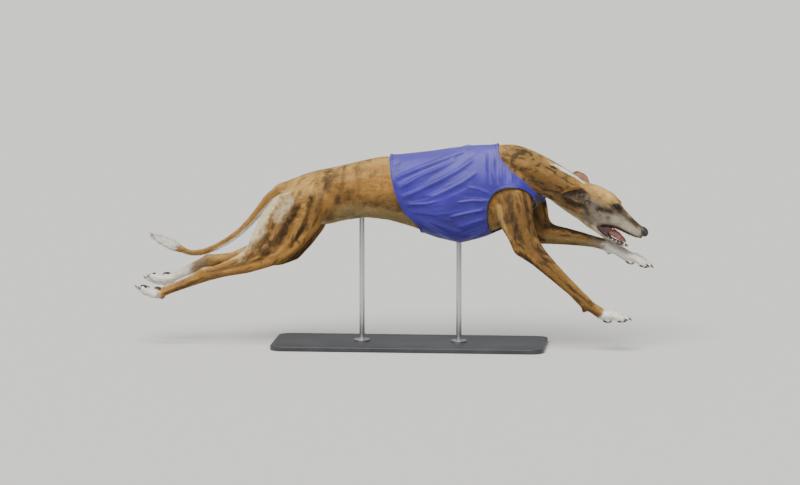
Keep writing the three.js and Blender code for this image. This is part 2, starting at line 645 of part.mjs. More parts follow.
const greyhound = new THREE.Group();
nodes.forEach(({ body, material }, name) => {
  const { vertProperties, triVerts } = body.getMesh();
  const geometry = new THREE.BufferGeometry();
  geometry.setAttribute("position", new THREE.BufferAttribute(new Float32Array(vertProperties), 3));
  geometry.setIndex(new THREE.BufferAttribute(new Uint32Array(triVerts), 1));
  const mesh = new THREE.Mesh(geometry, material);
  mesh.name = name;
  greyhound.add(mesh);
});

// The origin is on the floor, under the middle of the whole model.
const box = new THREE.Box3().setFromObject(greyhound);
const middle = box.getCenter(new THREE.Vector3());
greyhound.position.set(-middle.x, -middle.y, -box.min.z);

export default greyhound;
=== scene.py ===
"""A life-size racing greyhound in full stretch, in a close blue racing jacket, on a plain display stand."""

import itertools
import math

import bmesh
import bpy
import numpy as np
from mathutils import Matrix, Vector
from mathutils.bvhtree import BVHTree


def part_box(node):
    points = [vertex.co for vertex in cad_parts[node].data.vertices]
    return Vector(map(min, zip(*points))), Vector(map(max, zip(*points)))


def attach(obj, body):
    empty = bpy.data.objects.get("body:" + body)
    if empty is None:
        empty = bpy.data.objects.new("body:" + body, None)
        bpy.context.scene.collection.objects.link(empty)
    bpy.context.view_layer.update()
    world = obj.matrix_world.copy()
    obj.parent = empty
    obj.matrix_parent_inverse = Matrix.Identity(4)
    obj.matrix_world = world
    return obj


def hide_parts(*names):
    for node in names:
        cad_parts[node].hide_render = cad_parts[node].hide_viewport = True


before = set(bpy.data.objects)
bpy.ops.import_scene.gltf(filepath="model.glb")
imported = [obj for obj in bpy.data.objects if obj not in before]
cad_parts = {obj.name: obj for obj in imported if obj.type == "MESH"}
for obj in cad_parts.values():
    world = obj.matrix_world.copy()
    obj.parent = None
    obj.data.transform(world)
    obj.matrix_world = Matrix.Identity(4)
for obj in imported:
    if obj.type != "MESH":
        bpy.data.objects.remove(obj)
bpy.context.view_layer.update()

MM = 0.001
SHIFT = np.array([8.4, 0, 0])  # from the drawing's origin to the model's, in mm
ROOT = "root"

# Driving sizes, in millimetres of the drawing
VIEW_TURN = math.radians(5)
VIEW_RISE = math.radians(7)
VIEW_SCALE = 3.0  # millimetres to one step of the side view
VIEW_MIDDLE = (396.5, 346)  # the steps at which x and z are 0
OCCIPUT = (568, 0, 502)
HEAD_PITCH = math.radians(40)
HEAD_ROLL = math.radians(4)
EYE = {"u": 114, "v": 7.5, "y": 21.8, "radius": 10.2}  # along, above and out from the head's midline
SKIN_STEP = 2.6  # the size of the skin's first faces
THIN_RATIO = 0.10  # the share of its faces that the skin keeps where its form is broad
HIDDEN_RATIO = 0.03  # and under the jacket
INFLATE = 0.5  # how much each part grows before they are joined

# The camera and the floor, in metres, and the lens in millimetres
CAMERA_TARGET = (0.0189, 0, 0.3129)
CAMERA_DISTANCE = 13
CAMERA_LENS = 195
FLOOR_SIZE = 120

TRUNK = ["chest", "loin", "rump", "neck"]
HEAD = ["head", "lower_jaw", "right_eye", "left_eye"]
EARS = ["right_ear", "left_ear"]
TAIL = ["tail_root", "tail_middle", "tail_tip"]
LEGS = [
    f"{side}_{part}"
    for side in ("right", "left")
    for part in (
        "fore_shoulder", "fore_forearm", "fore_pastern", "fore_paw",
        "hind_thigh", "hind_gaskin", "hind_metatarsus", "hind_paw",
    )
]

HEAD_FRAME = np.array(
    Matrix.Translation(OCCIPUT)
    @ Matrix.Rotation(HEAD_PITCH, 4, "Y")
    @ Matrix.Rotation(HEAD_ROLL, 4, "X")
)
HEAD_TURN, HEAD_PLACE = HEAD_FRAME[:3, :3], HEAD_FRAME[:3, 3]
SIDES = {"right": -1, "left": 1}
SIDE_VIEW = [0, 2]  # the columns that hold x and z


# Places and points


def in_head(points):
    """Points given along, across and above the head, as places in the drawing."""
    return np.asarray(points, float) @ HEAD_TURN.T + HEAD_PLACE


def to_head(points):
    """Places in the drawing, as distances along, across and above the head."""
    return (points - HEAD_PLACE) @ HEAD_TURN


def from_view(steps, y):
    """Points read from the side view, as x and z at the distance y from the midline."""
    across, down = np.asarray(steps, float).T
    turned = y * math.sin(VIEW_TURN)
    x = (VIEW_SCALE * (across - VIEW_MIDDLE[0]) - turned) / math.cos(VIEW_TURN)
    depth = y * math.cos(VIEW_TURN) - x * math.sin(VIEW_TURN)
    z = VIEW_SCALE * (VIEW_MIDDLE[1] - down) - depth * math.sin(VIEW_RISE)
    return np.stack([x, z / math.cos(VIEW_RISE)], 1)


def read(items, field, columns=3, kind=float):
    """One field of all of a mesh's points, edges or faces, with a row for each."""
    values = np.empty(len(items) * columns, kind)
    items.foreach_get(field, values)
    return values.reshape(-1, columns)


def drawn(obj):
    """The places of a piece's points in the drawing."""
    return read(obj.data.vertices, "co") / MM - SHIFT


def face_places(obj):
    return read(obj.data.polygons, "center") / MM - SHIFT


def put(obj, points):
    obj.data.vertices.foreach_set("co", ((points + SHIFT) * MM).ravel())
    obj.data.update()


def normals_of(obj):
    return read(obj.data.vertex_normals, "vector")


def lengths(vectors):
    return np.linalg.norm(vectors, axis=1)


def unit(vectors):
    length = np.linalg.norm(vectors, axis=-1, keepdims=True)
    return vectors / np.maximum(length, 1e-9)


def ramp(values, low, high):
    """0 up to low, 1 from high, and a soft rise between them."""
    share = np.clip((values - low) / (high - low), 0, 1)
    return share * share * (3 - 2 * share)


def toward(value, goal, share):
    return value * (1 - share) + goal * share


def neighbour_mean(obj):
    """A function that gives each vertex the mean of its neighbours' values."""
    pairs = read(obj.data.edges, "vertices", 2, np.int64)
    here = np.concatenate([pairs[:, 0], pairs[:, 1]])
    there = np.concatenate([pairs[:, 1], pairs[:, 0]])
    order = np.argsort(here, kind="stable")
    there = there[order]
    count = np.bincount(here, minlength=len(obj.data.vertices))
    starts = np.concatenate([[0], np.cumsum(count)[:-1]])
    return lambda values: np.add.reduceat(values[there], starts, axis=0) / count[:, None]


def evened(points, mean, weight, rounds):
    """Points with their small unevenness smoothed away and their broad form kept."""

    def smooth(values):
        for _ in range(rounds):
            values = values + weight * (mean(values) - values)
        return values

    once = smooth(points)
    return once + smooth(points - once)


def noise(points, seed):
    """Smooth noise from 0 to 1 that changes over a distance of about 1."""
    cell = np.floor(points).astype(np.int64)
    part = points - cell
    part = part * part * (3 - 2 * part)
    total = np.zeros(len(points))
    for corner in itertools.product((0, 1), repeat=3):
        near = cell + corner
        key = near[:, 0] * 73856093 ^ near[:, 1] * 19349663 ^ near[:, 2] * 83492791 ^ seed * 26544357
        key = (key ^ (key >> 13)) * 1274126177 & 0x7FFFFFFF
        key = (key ^ (key >> 11)) & 0xFFFF
        weight = np.where(corner, part, 1 - part).prod(axis=1)
        total += weight * key / 65535
    return total


# Making and finishing objects


def only(obj):
    """Selects this object alone and makes it the active one."""
    if bpy.context.object and bpy.context.object.mode != "OBJECT":
        bpy.ops.object.mode_set(mode="OBJECT")
    bpy.ops.object.select_all(action="DESELECT")
    obj.select_set(True)
    bpy.context.view_layer.objects.active = obj
    return obj


def modify(obj, kind, **settings):
    """Adds a modifier, sets it and applies it."""
    only(obj)
    modifier = obj.modifiers.new(kind.title(), kind)
    for name, value in settings.items():
        setattr(modifier, name, value)
    bpy.ops.object.modifier_apply(modifier=modifier.name)
    return obj


def add_object(name, mesh):
    obj = bpy.data.objects.new(name, mesh)
    bpy.context.scene.collection.objects.link(obj)
    return obj


def join(parts, name):
    """Joins the parts into the first of them."""
    only(parts[0])
    for part in parts:
        part.select_set(True)
    if len(parts) > 1:
        bpy.ops.object.join()
    bpy.context.object.name = name
    return bpy.context.object


def copy_of(nodes, name, grow=0.0):
    """The nodes' shapes as one new object: each is merged, grown a little and joined to the rest."""
    parts = []
    for node in nodes:
        part = add_object(name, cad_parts[node].data.copy())
        part.data.materials.clear()
        only(part)
        bpy.ops.object.mode_set(mode="EDIT")
        bpy.ops.mesh.select_all(action="SELECT")
        bpy.ops.mesh.remove_doubles(threshold=1e-5)
        bpy.ops.object.mode_set(mode="OBJECT")
        if grow:
            modify(part, "DISPLACE", strength=grow * MM, mid_level=0.0)
        parts.append(part)
    return join(parts, name)


def mesh_object(name, points, faces):
    """A new mesh from places in the drawing."""
    mesh = bpy.data.meshes.new(name)
    mesh.from_pydata(((np.asarray(points, float) + SHIFT) * MM).tolist(), [], faces)
    mesh.shade_smooth()
    return add_object(name, mesh)


def ring_faces(rings, around, start=0, closed=False, strip=False):
    """The faces between rings of points: closed rings meet end to end, and a strip's rings are open."""
    faces = []
    for i in range(rings if closed else rings - 1):
        here, there = start + i * around, start + (i + 1) % rings * around
        for j in range(around - 1 if strip else around):
            k = (j + 1) % around
            faces.append((here + j, here + k, there + k, there + j))
    return faces


def face_out(obj):
    """Turns all of a piece's faces outwards."""
    only(obj)
    bpy.ops.object.mode_set(mode="EDIT")
    bpy.ops.mesh.select_all(action="SELECT")
    bpy.ops.mesh.normals_make_consistent(inside=False)
    bpy.ops.object.mode_set(mode="OBJECT")
    return obj


def mark(obj, name, values):
    """Gives each point of a piece a number that its finish reads."""
    obj.data.attributes.new(name, "FLOAT", "POINT").data.foreach_set("value", values)


def finish(obj, slot, *nodes):
    """The piece rides on the model's one body and stands for the nodes, whose shapes it hides; the slot is
    not used.
    """
    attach(obj, ROOT)
    if nodes:
        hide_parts(*nodes)
    return obj


# Camera, floor and lights


def add_camera():
    """A long lens at the photograph's angle, so far off that near and far legs look nearly of one size."""
    target = Vector(CAMERA_TARGET)
    flat = math.cos(VIEW_RISE)
    back = Vector((math.sin(VIEW_TURN) * flat, -math.cos(VIEW_TURN) * flat, math.sin(VIEW_RISE)))
    bpy.ops.object.camera_add(location=target + back * CAMERA_DISTANCE)
    camera = bpy.context.object
    camera.rotation_euler = (-back).to_track_quat("-Z", "Y").to_euler()
    camera.data.lens = CAMERA_LENS
    camera.data.clip_end = 300
    bpy.context.scene.camera = camera


def add_studio():
    """A pale floor, one broad soft light from above and an even pale sky."""
    bpy.ops.mesh.primitive_plane_add(size=FLOOR_SIZE)
    floor = bpy.context.object
    floor.name = "studio_floor"
    material = bpy.data.materials.new("pale_floor")
    material.use_nodes = True
    shader = material.node_tree.nodes["Principled BSDF"]
    shader.inputs["Base Color"].default_value = (0.62, 0.62, 0.61, 1)
    shader.inputs["Roughness"].default_value = 0.85
    floor.data.materials.append(material)
    bpy.ops.object.light_add(type="SUN", location=(0, 0, 4))
    sun = bpy.context.object
    sun.name = "overhead_softbox"
    sun.rotation_euler = (math.radians(33), math.radians(-12), 0)
    sun.data.energy = 5.2
    sun.data.angle = math.radians(50)
    sun.data.color = (1.0, 0.985, 0.95)
    world = bpy.data.worlds.new("studio")
    world.use_nodes = True
    sky = world.node_tree.nodes["Background"]
    sky.inputs["Color"].default_value = (0.97, 0.975, 0.98, 1)
    sky.inputs["Strength"].default_value = 0.42
    bpy.context.scene.world = world


# Lines that the coat and the form follow, each row x, y, z and half the thickness there


def head_rows(rows):
    return [(*in_head(row[:3]), row[3]) for row in rows]


BODY_LINE = [
    *head_rows(
        [
            (238, 0, -12, 11), (205, 0, -18, 22), (165, 0, -24, 30), (125, 0, -32, 38), (88, 0, -38, 52),
            (50, 0, -42, 55), (12, 0, -46, 50),
        ]
    ),
    (509, 0, 475, 55), (473, 0, 498, 58), (436, 0, 520, 62), (400, 0, 533, 68), (366, 0, 515, 82),
    (313, 0, 490, 94), (247, 0, 470, 108), (176, 0, 456, 115), (102, 0, 459, 107), (29, 0, 468, 93),
    (-36, 0, 476, 82), (-101, 0, 473, 74), (-165, 0, 460, 74), (-221, 0, 447, 77), (-268, 0, 442, 70),
    (-318, 0, 450, 48), (-343, 0, 460, 19),
]
TAIL_LINE = [
    (-303, 0, 484, 21), (-348, 0, 470, 19), (-384, 0, 441, 16.5), (-413, 0, 406, 14), (-441, 0, 373, 12),
    (-471, 0, 343, 11), (-507, 0, 316, 10.5), (-544, 0, 295, 10), (-580, 0, 280, 9.5), (-616, 0, 275, 9),
    (-649, 0, 285, 9), (-676, 0, 298, 9.5), (-706, 0, 312, 8.5), (-733, 0, 325, 5),
]
RIGHT_FORE_LINE = [
    (267, -26, 576, 22), (305, -50, 518, 38), (346, -60, 462, 44), (357, -63, 422, 44),
    (365, -66, 380, 40), (384, -69, 338, 34), (405, -71, 298, 34), (445, -70, 264, 30),
    (493, -67, 220, 24), (540, -64, 177, 20), (578, -62, 139, 20), (605, -60, 121, 17),
    (628, -58, 106, 17), (665, -57, 104, 17), (704, -56, 101, 13),
]
LEFT_FORE_LINE = [
    (280, 26, 576, 22), (327, 50, 518, 40), (381, 60, 438, 52), (392, 62, 398, 50), (400, 64, 368, 44),
    (411, 66, 347, 36), (437, 66, 334, 34), (482, 64, 331, 26), (540, 60, 323, 19), (591, 56, 314, 17),
    (626, 54, 306, 18), (658, 52, 293, 16), (694, 50, 272, 18), (730, 49, 262, 17), (767, 48, 250, 13),
]
RIGHT_HIND_LINE = [
    (-254, -34, 499, 30), (-275, -56, 453, 60), (-298, -61, 408, 62), (-327, -64, 357, 58),
    (-357, -67, 313, 50), (-388, -69, 280, 42), (-426, -68, 261, 34), (-473, -65, 242, 26),
    (-526, -62, 229, 19), (-570, -60, 218, 19), (-617, -58, 196, 16), (-677, -56, 172, 14),
    (-715, -54, 157, 16), (-750, -54, 163, 17), (-786, -54, 172, 13),
]
LEFT_HIND_LINE = [
    (-257, 34, 495, 30), (-278, 56, 448, 60), (-301, 61, 399, 62), (-322, 64, 351, 60),
    (-347, 67, 313, 52), (-377, 69, 276, 46), (-414, 68, 259, 38), (-471, 65, 249, 27),
    (-527, 61, 249, 20), (-570, 58, 245, 20), (-613, 55, 228, 17), (-663, 52, 204, 15),
    (-699, 50, 189, 16), (-735, 49, 188, 17), (-771, 48, 187, 13),
]
RIGHT_EAR_LINE = head_rows(
    [(46, -38, -34, 13), (18, -56, -31, 21), (2, -62, -34, 23), (-14, -64, -45, 19), (-36, -57, -72, 8)]
)
LEFT_EAR_LINE = head_rows(
    [(30, 28, -24, 12), (7, 44, -13, 17), (-11, 51, -7, 19), (-28, 55, -13, 16), (-52, 55, -45, 7)]
)
LINES = {
    "body": BODY_LINE,
    "tail": TAIL_LINE,
    "right_fore": RIGHT_FORE_LINE,
    "left_fore": LEFT_FORE_LINE,
    "right_hind": RIGHT_HIND_LINE,
    "left_hind": LEFT_HIND_LINE,
    "right_ear": RIGHT_EAR_LINE,
    "left_ear": LEFT_EAR_LINE,
}
PAW_FROM = 12  # the row of a leg's line where its paw starts


def nearest_on(line, points):
    """Where each point lies by a line: its row with a fraction, way out, tangent and half thickness."""
    rows = np.array(line, float)
    places, half = rows[:, :3], rows[:, 3]
    tangents = unit(np.gradient(places, axis=0))
    best = np.full(len(points), np.inf)
    at = np.zeros(len(points))
    foot = np.zeros_like(points)
    for i, (start, end) in enumerate(zip(places[:-1], places[1:])):
        step = end - start
        share = np.clip((points - start) @ step / (step @ step), 0, 1)
        place = start + share[:, None] * step
        distance = ((points - place) ** 2).sum(axis=1)
        closer = distance < best
        best[closer] = distance[closer]
        at[closer] = i + share[closer]
        foot[closer] = place[closer]
    low = np.minimum(at.astype(int), len(places) - 2)
    part = (at - low)[:, None]
    tangent = unit(tangents[low] * (1 - part) + tangents[low + 1] * part)
    thick = half[low] * (1 - part[:, 0]) + half[low + 1] * part[:, 0]
    return {"at": at, "out": points - foot, "tangent": tangent, "thick": thick}


def by_lines(points):
    """Each line's hold on each point, from 0 to 1, and where the point lies by that line."""
    found = {name: nearest_on(line, points) for name, line in LINES.items()}
    pull = {}
    for name, by in found.items():
        distance = lengths(by["out"])
        pull[name] = (by["thick"] / np.maximum(distance, 0.35 * by["thick"])) ** 5
    total = sum(pull.values())
    for name, by in found.items():
        by["hold"] = pull[name] / total
    return found


# The skin

PAWS = {
    "right_fore": ((629, -58, 107), (0.995, 0.02, -0.05), (0.05, 0, 1)),
    "left_fore": ((695, 49, 272), (0.95, -0.02, -0.31), (0.31, 0, 0.95)),
    "right_hind": ((-709, -54, 155), (-0.97, 0, 0.22), (-0.22, -0.12, -0.96)),
    "left_hind": ((-694, 49, 188), (-0.99, 0, -0.02), (0.02, -0.35, -0.94)),
}
TOES = [(-19.5, 60), (-6.8, 72), (6.8, 72), (19.5, 60)]  # how far across the paw, and how long
EAR_RINGS, EAR_COLUMNS = 25, 13  # rows of points along an ear, and points across it
SHOULDERS = ((352, -60, 400), (384, 60, 396))  # where the forelegs come out of the jacket
SHOULDER_SKIN, SHOULDER_HAIR = 112, 92  # how far round there the skin stays fine, and hair grows
FACE_REACH = 17  # how far round an eye the skin is finer
HIDDEN_SKIN, HIDDEN_HAIR = 25, 14  # how far inside the jacket's edges the skin is coarse, and bare
NEAR_SIDE = -70  # y at which the right side's muscles and marks are read from the side view
FAR_FORE = 55  # the same for the left foreleg


def ear_solid(side, rows, opens):
    """A folded ear, a cupped leaf with rounded edges, from rows of a place, a half width and a cup."""
    rows = np.array(rows, float)
    steps = np.linspace(0, len(rows) - 1, EAR_RINGS)
    spread = np.linspace(-1, 1, EAR_COLUMNS)
    line = [np.interp(steps, range(len(rows)), column) for column in rows.T]
    line = np.stack([np.convolve(np.pad(c, 2, "edge"), [0.1, 0.2, 0.4, 0.2, 0.1], "valid") for c in line], 1)
    outward = unit(np.array(opens, float))
    rings = []
    last = EAR_RINGS - 1
    for i, (place, half, cup) in enumerate(zip(line[:, :3], line[:, 3], line[:, 4])):
        tangent = unit(line[min(i + 1, last), :3] - line[max(i - 1, 0), :3])
        across = unit(np.cross(tangent, outward))
        thick = EAR_THICK / 2 * np.sqrt(np.clip(1 - np.abs(spread) ** 5, 0.3, 1))
        thick *= math.sqrt(max(1 - (i / last) ** 6, 0.4))
        middle = place + np.outer(half * spread, across) - np.outer(cup * (1 - spread**2), outward)
        facing = unit(np.cross(tangent, half * across + np.outer(2 * cup * spread, outward)))
        wall = facing * thick[:, None] * math.copysign(1, facing[len(spread) // 2] @ outward)
        rings.append(np.concatenate([middle + wall, (middle - wall)[::-1]]))
    around = len(rings[0])
    end = last * around
    faces = ring_faces(EAR_RINGS, around)
    faces += [tuple(range(around - 1, -1, -1)), tuple(range(end, end + around))]
    return face_out(mesh_object(f"{side}_ear_form", in_head(np.concatenate(rings)), faces))


def close_teeth(obj):
    """Sinks the canine teeth back into the jaws, where separate teeth are set later."""
    places = to_head(drawn(obj))
    for along, out, root, low, high in ((203, 13.5, -34, -56, -34), (209, 10.5, -72, -72, -50)):
        near = (np.abs(places[:, 0] - along) < 5.5) & (np.abs(np.abs(places[:, 1]) - out) < 5)
        near &= (places[:, 2] > low) & (places[:, 2] < high)
        places[near, 2] = root
    put(obj, in_head(places))


def make_skin():
    """The body's parts as one skin, remeshed and smoothed, and less so where its form is fine."""
    head = copy_of(HEAD, "head_form", grow=INFLATE)
    close_teeth(head)
    ears = [ear_solid(side, *form) for side, form in EAR_FORMS.items()]
    skin = join([copy_of([*TRUNK, *TAIL, *LEGS], "skin", grow=INFLATE), head, *ears], "skin")
    modify(skin, "REMESH", mode="VOXEL", voxel_size=SKIN_STEP * MM, adaptivity=0.0)
    points = drawn(skin)
    by = by_lines(points)
    softness = {"body": 1.0, "tail": 0.5}
    weight = sum(b["hold"] * softness.get(name, 0.7) for name, b in by.items())
    for name in PAWS:
        weight = toward(weight, 0.35, ramp(by[name]["at"], 5, 8) * by[name]["hold"])
    for name in PAWS:
        paw = ramp(by[name]["at"], PAW_FROM - 1.5, PAW_FROM) * ramp(by[name]["hold"], 0.3, 0.7)
        weight = toward(weight, 0.04, paw)
    along = to_head(points)
    face = ramp(along[:, 0], 0, 60) * ramp(by["body"]["hold"], 0.2, 0.6)
    weight = toward(weight, 0.2, face)
    mouth = face * ramp(along[:, 0], 110, 130) * ramp(-along[:, 2], 20, 40)
    weight = toward(weight, 0.06, mouth)
    weight = toward(weight, 0.02, by["right_ear"]["hold"] + by["left_ear"]["hold"])
    put(skin, evened(points, neighbour_mean(skin), weight[:, None], 90))
    return skin


# Grooves (negative) and ridges (positive) under the skin, by the line that they belong to: the path in the
# side view, how wide it is to each side and how deep.
MUSCLES = {
    "body": [
        # neck
        ([(576, 206), (560, 196), (545, 188), (530, 180), (519, 172)], 9, -2.6),
        ([(574, 193), (556, 184), (538, 175), (520, 166), (506, 158)], 11, 1.8),
        ([(566, 178), (548, 168), (528, 159), (508, 150)], 8, -1.8),
        ([(592, 224), (574, 213), (556, 203), (540, 193)], 7, 1.6),
        ([(584, 212), (566, 203), (550, 195)], 5, -1.4),
        # loin and flank
        ([(327, 184), (345, 177), (366, 173), (389, 170)], 10, -2.0),
        ([(329, 176), (350, 170), (372, 166), (392, 163)], 9, 1.8),
        ([(391, 176), (387, 190), (379, 204), (369, 215)], 9, 2.4),
        ([(383, 176), (378, 190), (370, 203), (360, 213)], 8, -2.0),
        ([(404, 178), (400, 194), (392, 208)], 8, 1.8),
        ([(339, 188), (342, 200), (337, 212), (326, 222)], 12, -4.0),
        ([(322, 176), (316, 180)], 13, 4.0),
        ([(305, 178), (296, 182)], 12, -2.0),
        ([(286, 186), (280, 191)], 9, 3.0),
    ],
    "hind": [
        # thigh
        ([(330, 188), (332, 203), (325, 219), (315, 231)], 7, 4.5),
        ([(318, 186), (316, 204), (311, 220), (300, 238)], 6, -4.8),
        ([(311, 190), (309, 206), (302, 224), (290, 243)], 7, 4.2),
        ([(304, 196), (300, 211), (292, 228), (281, 245), (268, 256)], 7, -6.5),
        ([(296, 203), (287, 222), (275, 240), (262, 254)], 9, 4.0),
        ([(290, 197), (281, 213), (270, 232), (258, 250)], 6, -4.6),
        ([(279, 200), (268, 217), (258, 236), (249, 250)], 9, 4.8),
        ([(300, 246), (292, 252), (284, 257)], 8, 3.0),
        ([(318, 216), (311, 229), (301, 243), (290, 252)], 6, 2.2),
        # second thigh, hock and hind pastern
        ([(272, 258), (256, 262), (239, 266), (222, 270), (208, 273)], 5, -3.4),
        ([(256, 251), (240, 256), (224, 261), (210, 266), (203, 270)], 4.5, 1.6),
        ([(276, 263), (258, 268), (240, 271), (222, 273)], 6, 2.0),
        ([(203, 268), (200, 271)], 7, 2.6),
        ([(198, 276), (186, 281), (172, 287), (160, 291)], 4, -1.8),
        ([(200, 279), (186, 285), (172, 290), (158, 294)], 4, 1.2),
    ],
    "fore": [
        # shoulder and upper arm
        ([(500, 196), (500, 212), (505, 228), (511, 241)], 8, 2.8),
        ([(508, 192), (510, 208), (515, 225), (521, 240)], 6, -3.4),
        ([(517, 191), (520, 206), (524, 222), (530, 238)], 7, 2.8),
        ([(525, 195), (527, 210), (530, 225), (535, 239)], 5, -2.8),
        ([(531, 200), (533, 214), (536, 228), (541, 240)], 6, 2.0),
        ([(514, 248), (517, 251)], 7, 3.2),
        ([(516, 238), (524, 247), (533, 257)], 6, -2.4),
        # forearm and wrist
        ([(528, 238), (541, 257), (556, 276), (572, 293)], 4.5, -2.4),
        ([(535, 240), (549, 258), (564, 277), (579, 293)], 5, 1.8),
        ([(521, 249), (535, 264), (549, 279), (563, 292)], 5, 1.4),
        ([(583, 294), (588, 299)], 7, 1.8),
        ([(580, 306), (583, 309)], 5, 2.4),
        ([(590, 300), (598, 308), (606, 313)], 3.5, -1.2),
    ],
}
# The same for the left foreleg, which reaches forward.
REACH = [
    ([(541, 212), (546, 224), (556, 234)], 8, 2.4),
    ([(549, 212), (556, 224), (566, 231)], 5, -2.6),
    ([(550, 228), (566, 231), (582, 234), (597, 238)], 4.5, -2.2),
    ([(556, 223), (572, 226), (588, 231), (600, 236)], 5, 1.6),
    ([(553, 238), (570, 240), (588, 242), (603, 245)], 5, 1.4),
    ([(604, 239), (609, 242)], 7, 1.8),
    ([(612, 243), (622, 248), (632, 254)], 3.5, -1.2),
]
# Swellings and hollows of the head, in its own frame: along, out, up, radius and height.
HEAD_FORM = [
    (103, 28, 19, 9, 2.6), (118, 22, 15, 8, 1.6), (80, 39, 6, 15, -3.0), (104, 38, -9, 8, 2.4),
    (92, 43, -14, 9, 3.0), (78, 46, -18, 10, 3.2), (60, 47, -22, 11, 2.2), (66, 44, -60, 24, 3.6),
    (52, 42, -88, 14, 1.6), (98, 34, -34, 13, -2.6), (128, 27, -18, 13, -2.4), (140, 25, -30, 12, -1.2),
    (150, 20, -6, 9, -1.4), (168, 19, -8, 9, -1.4), (186, 18, -9, 8, -1.2), (178, 21, -30, 15, 1.4),
    (200, 19, -24, 13, 2.2), (216, 15, -22, 9, 1.4), (124, 0, 20, 12, -2.0), (100, 0, 25, 8, -1.2),
    (84, 0, 26, 8, -1.2), (66, 0, 24, 8, -1.0), (88, 17, 24, 12, 1.4), (150, 0, 12, 9, 1.0),
    (172, 0, 9, 9, 1.0), (196, 0, 8, 9, 1.2), (214, 0, 7, 8, 1.2), (8, 0, 0, 13, 3.0),
    (20, 30, -8, 14, -1.6),
]
EAR_THICK = 5.6
RIM_FLATNESS = 0.93  # where the normals round a point agree less than this, it is on an ear's rim
EAR_FORMS = {
    "right": (
        [
            (50, -38, -38, 10, 4), (38, -45, -33, 18, 9), (22, -55, -30, 25, 15), (4, -63, -33, 27, 17),
            (-12, -66, -43, 22, 13), (-25, -63, -57, 13, 7), (-35, -57, -70, 5, 1),
        ],
        (0.3, -0.88, 0.36),
    ),
    "left": (
        [
            (28, 27, -24, 11, 5), (18, 36, -18, 17, 8), (5, 44, -9, 22, 11), (-14, 51, -2, 24, 11),
            (-31, 55, -9, 20, 9), (-42, 56, -28, 10, 4), (-50, 55, -42, 4, 1),
        ],
        (0.35, -0.4, 0.85),
    ),
}
LID_REACH = (7.5, 16.0)  # where the lids' form ends and the head's own begins
EYE_OPENING = {"half": 9.6, "up": 5.0, "down": 4.2}
LID_RADIUS = 11.5


def gap_to(path, points):
    """How far each point lies from a path, both in the side view or both in space."""
    best = np.full(len(points), np.inf)
    path = np.array(path, float)
    for start, end in zip(path[:-1], path[1:]):
        step = end - start
        share = np.clip((points - start) @ step / (step @ step), 0, 1)
        best = np.minimum(best, lengths(points - start - share[:, None] * step))
    return best


def press(lift, points, normals, hold, path, width, depth, side):
    """Adds one groove or ridge to the lift, on the side of the body that faces along side * y."""
    near = (normals[:, 1] * side > 0.05) & (hold > 0.05)
    for k, values in zip(SIDE_VIEW, path.T):
        near &= (points[:, k] > values.min() - 3 * width) & (points[:, k] < values.max() + 3 * width)
    at = np.nonzero(near)[0]
    gap = gap_to(path, points[at][:, SIDE_VIEW])
    facing = ramp(normals[at, 1] * side, 0.05, 0.5) * ramp(hold[at], 0.05, 0.4)
    lift[at] += depth * np.exp(-((gap / width) ** 2)) * facing


def work_muscles(skin):
    """Raises the muscles and sinks the grooves between them."""
    points, normals = drawn(skin), normals_of(skin)
    by = by_lines(points)
    lift = np.zeros(len(points))
    for line, rows in MUSCLES.items():
        for (steps, width, depth), (name, side) in itertools.product(rows, SIDES.items()):
            path = from_view(steps, NEAR_SIDE)
            if line == "body":
                hold = by["body"]["hold"] * (points[:, 1] * side > 0)
                press(lift, points, normals, hold, path, width, depth, side)
            elif line == "hind" or name == "right":
                hold = by[f"{name}_{line}"]["hold"]
                press(lift, points, normals, hold, path, width, depth, side)
                press(lift, points, normals, hold, path, width, depth * 0.5, -side)
    for steps, width, depth in REACH:
        for face in (1, -1):
            path = from_view(steps, FAR_FORE)
            press(lift, points, normals, by["left_fore"]["hold"], path, width, depth, face)
    spine_groove = np.exp(-((points[:, 1] / 7) ** 2)) * ramp(normals[:, 2], 0.6, 0.9) * by["body"]["hold"]
    lift -= 1.8 * spine_groove * ramp(-points[:, 0], -30, 20)
    put(skin, points + normals * lift[:, None])


def shape_head(skin):
    """Raises and sinks the head's own swellings and hollows."""
    points, normals = drawn(skin), normals_of(skin)
    places = to_head(points)
    lift = np.zeros(len(points))
    for along, out, up, radius, height in HEAD_FORM:
        gap = (places[:, 0] - along) ** 2 + (np.abs(places[:, 1]) - out) ** 2 + (places[:, 2] - up) ** 2
        lift += height * np.exp(-gap / radius**2)
    put(skin, points + normals * lift[:, None])


def eye_frame(side):
    """The middle of an eye, the way it looks out, and the two ways across it: to the rear corner and up."""
    middle = in_head([(EYE["u"], side * EYE["y"], EYE["v"])])[0]
    out = unit(HEAD_TURN @ np.array([0.36, side * 0.92, 0.14]))
    back = HEAD_TURN @ np.array([-0.94, side * 0.28, -0.16])
    back = unit(back - (back @ out) * out)
    up = unit(np.cross(out, back)) * side
    return middle, out, back, up if up[2] > 0 else -up


def lid_gap(across, up):
    """How far outside the eye's opening a point is; negative inside it."""
    half = EYE_OPENING["half"]
    height = np.where(up > 0, EYE_OPENING["up"], EYE_OPENING["down"])
    inside = np.abs(up) - height * (1 - (across / half) ** 2)
    beyond = np.hypot(np.maximum(np.abs(across) - half, 0), up)
    return np.where(np.abs(across) < half, inside, beyond)


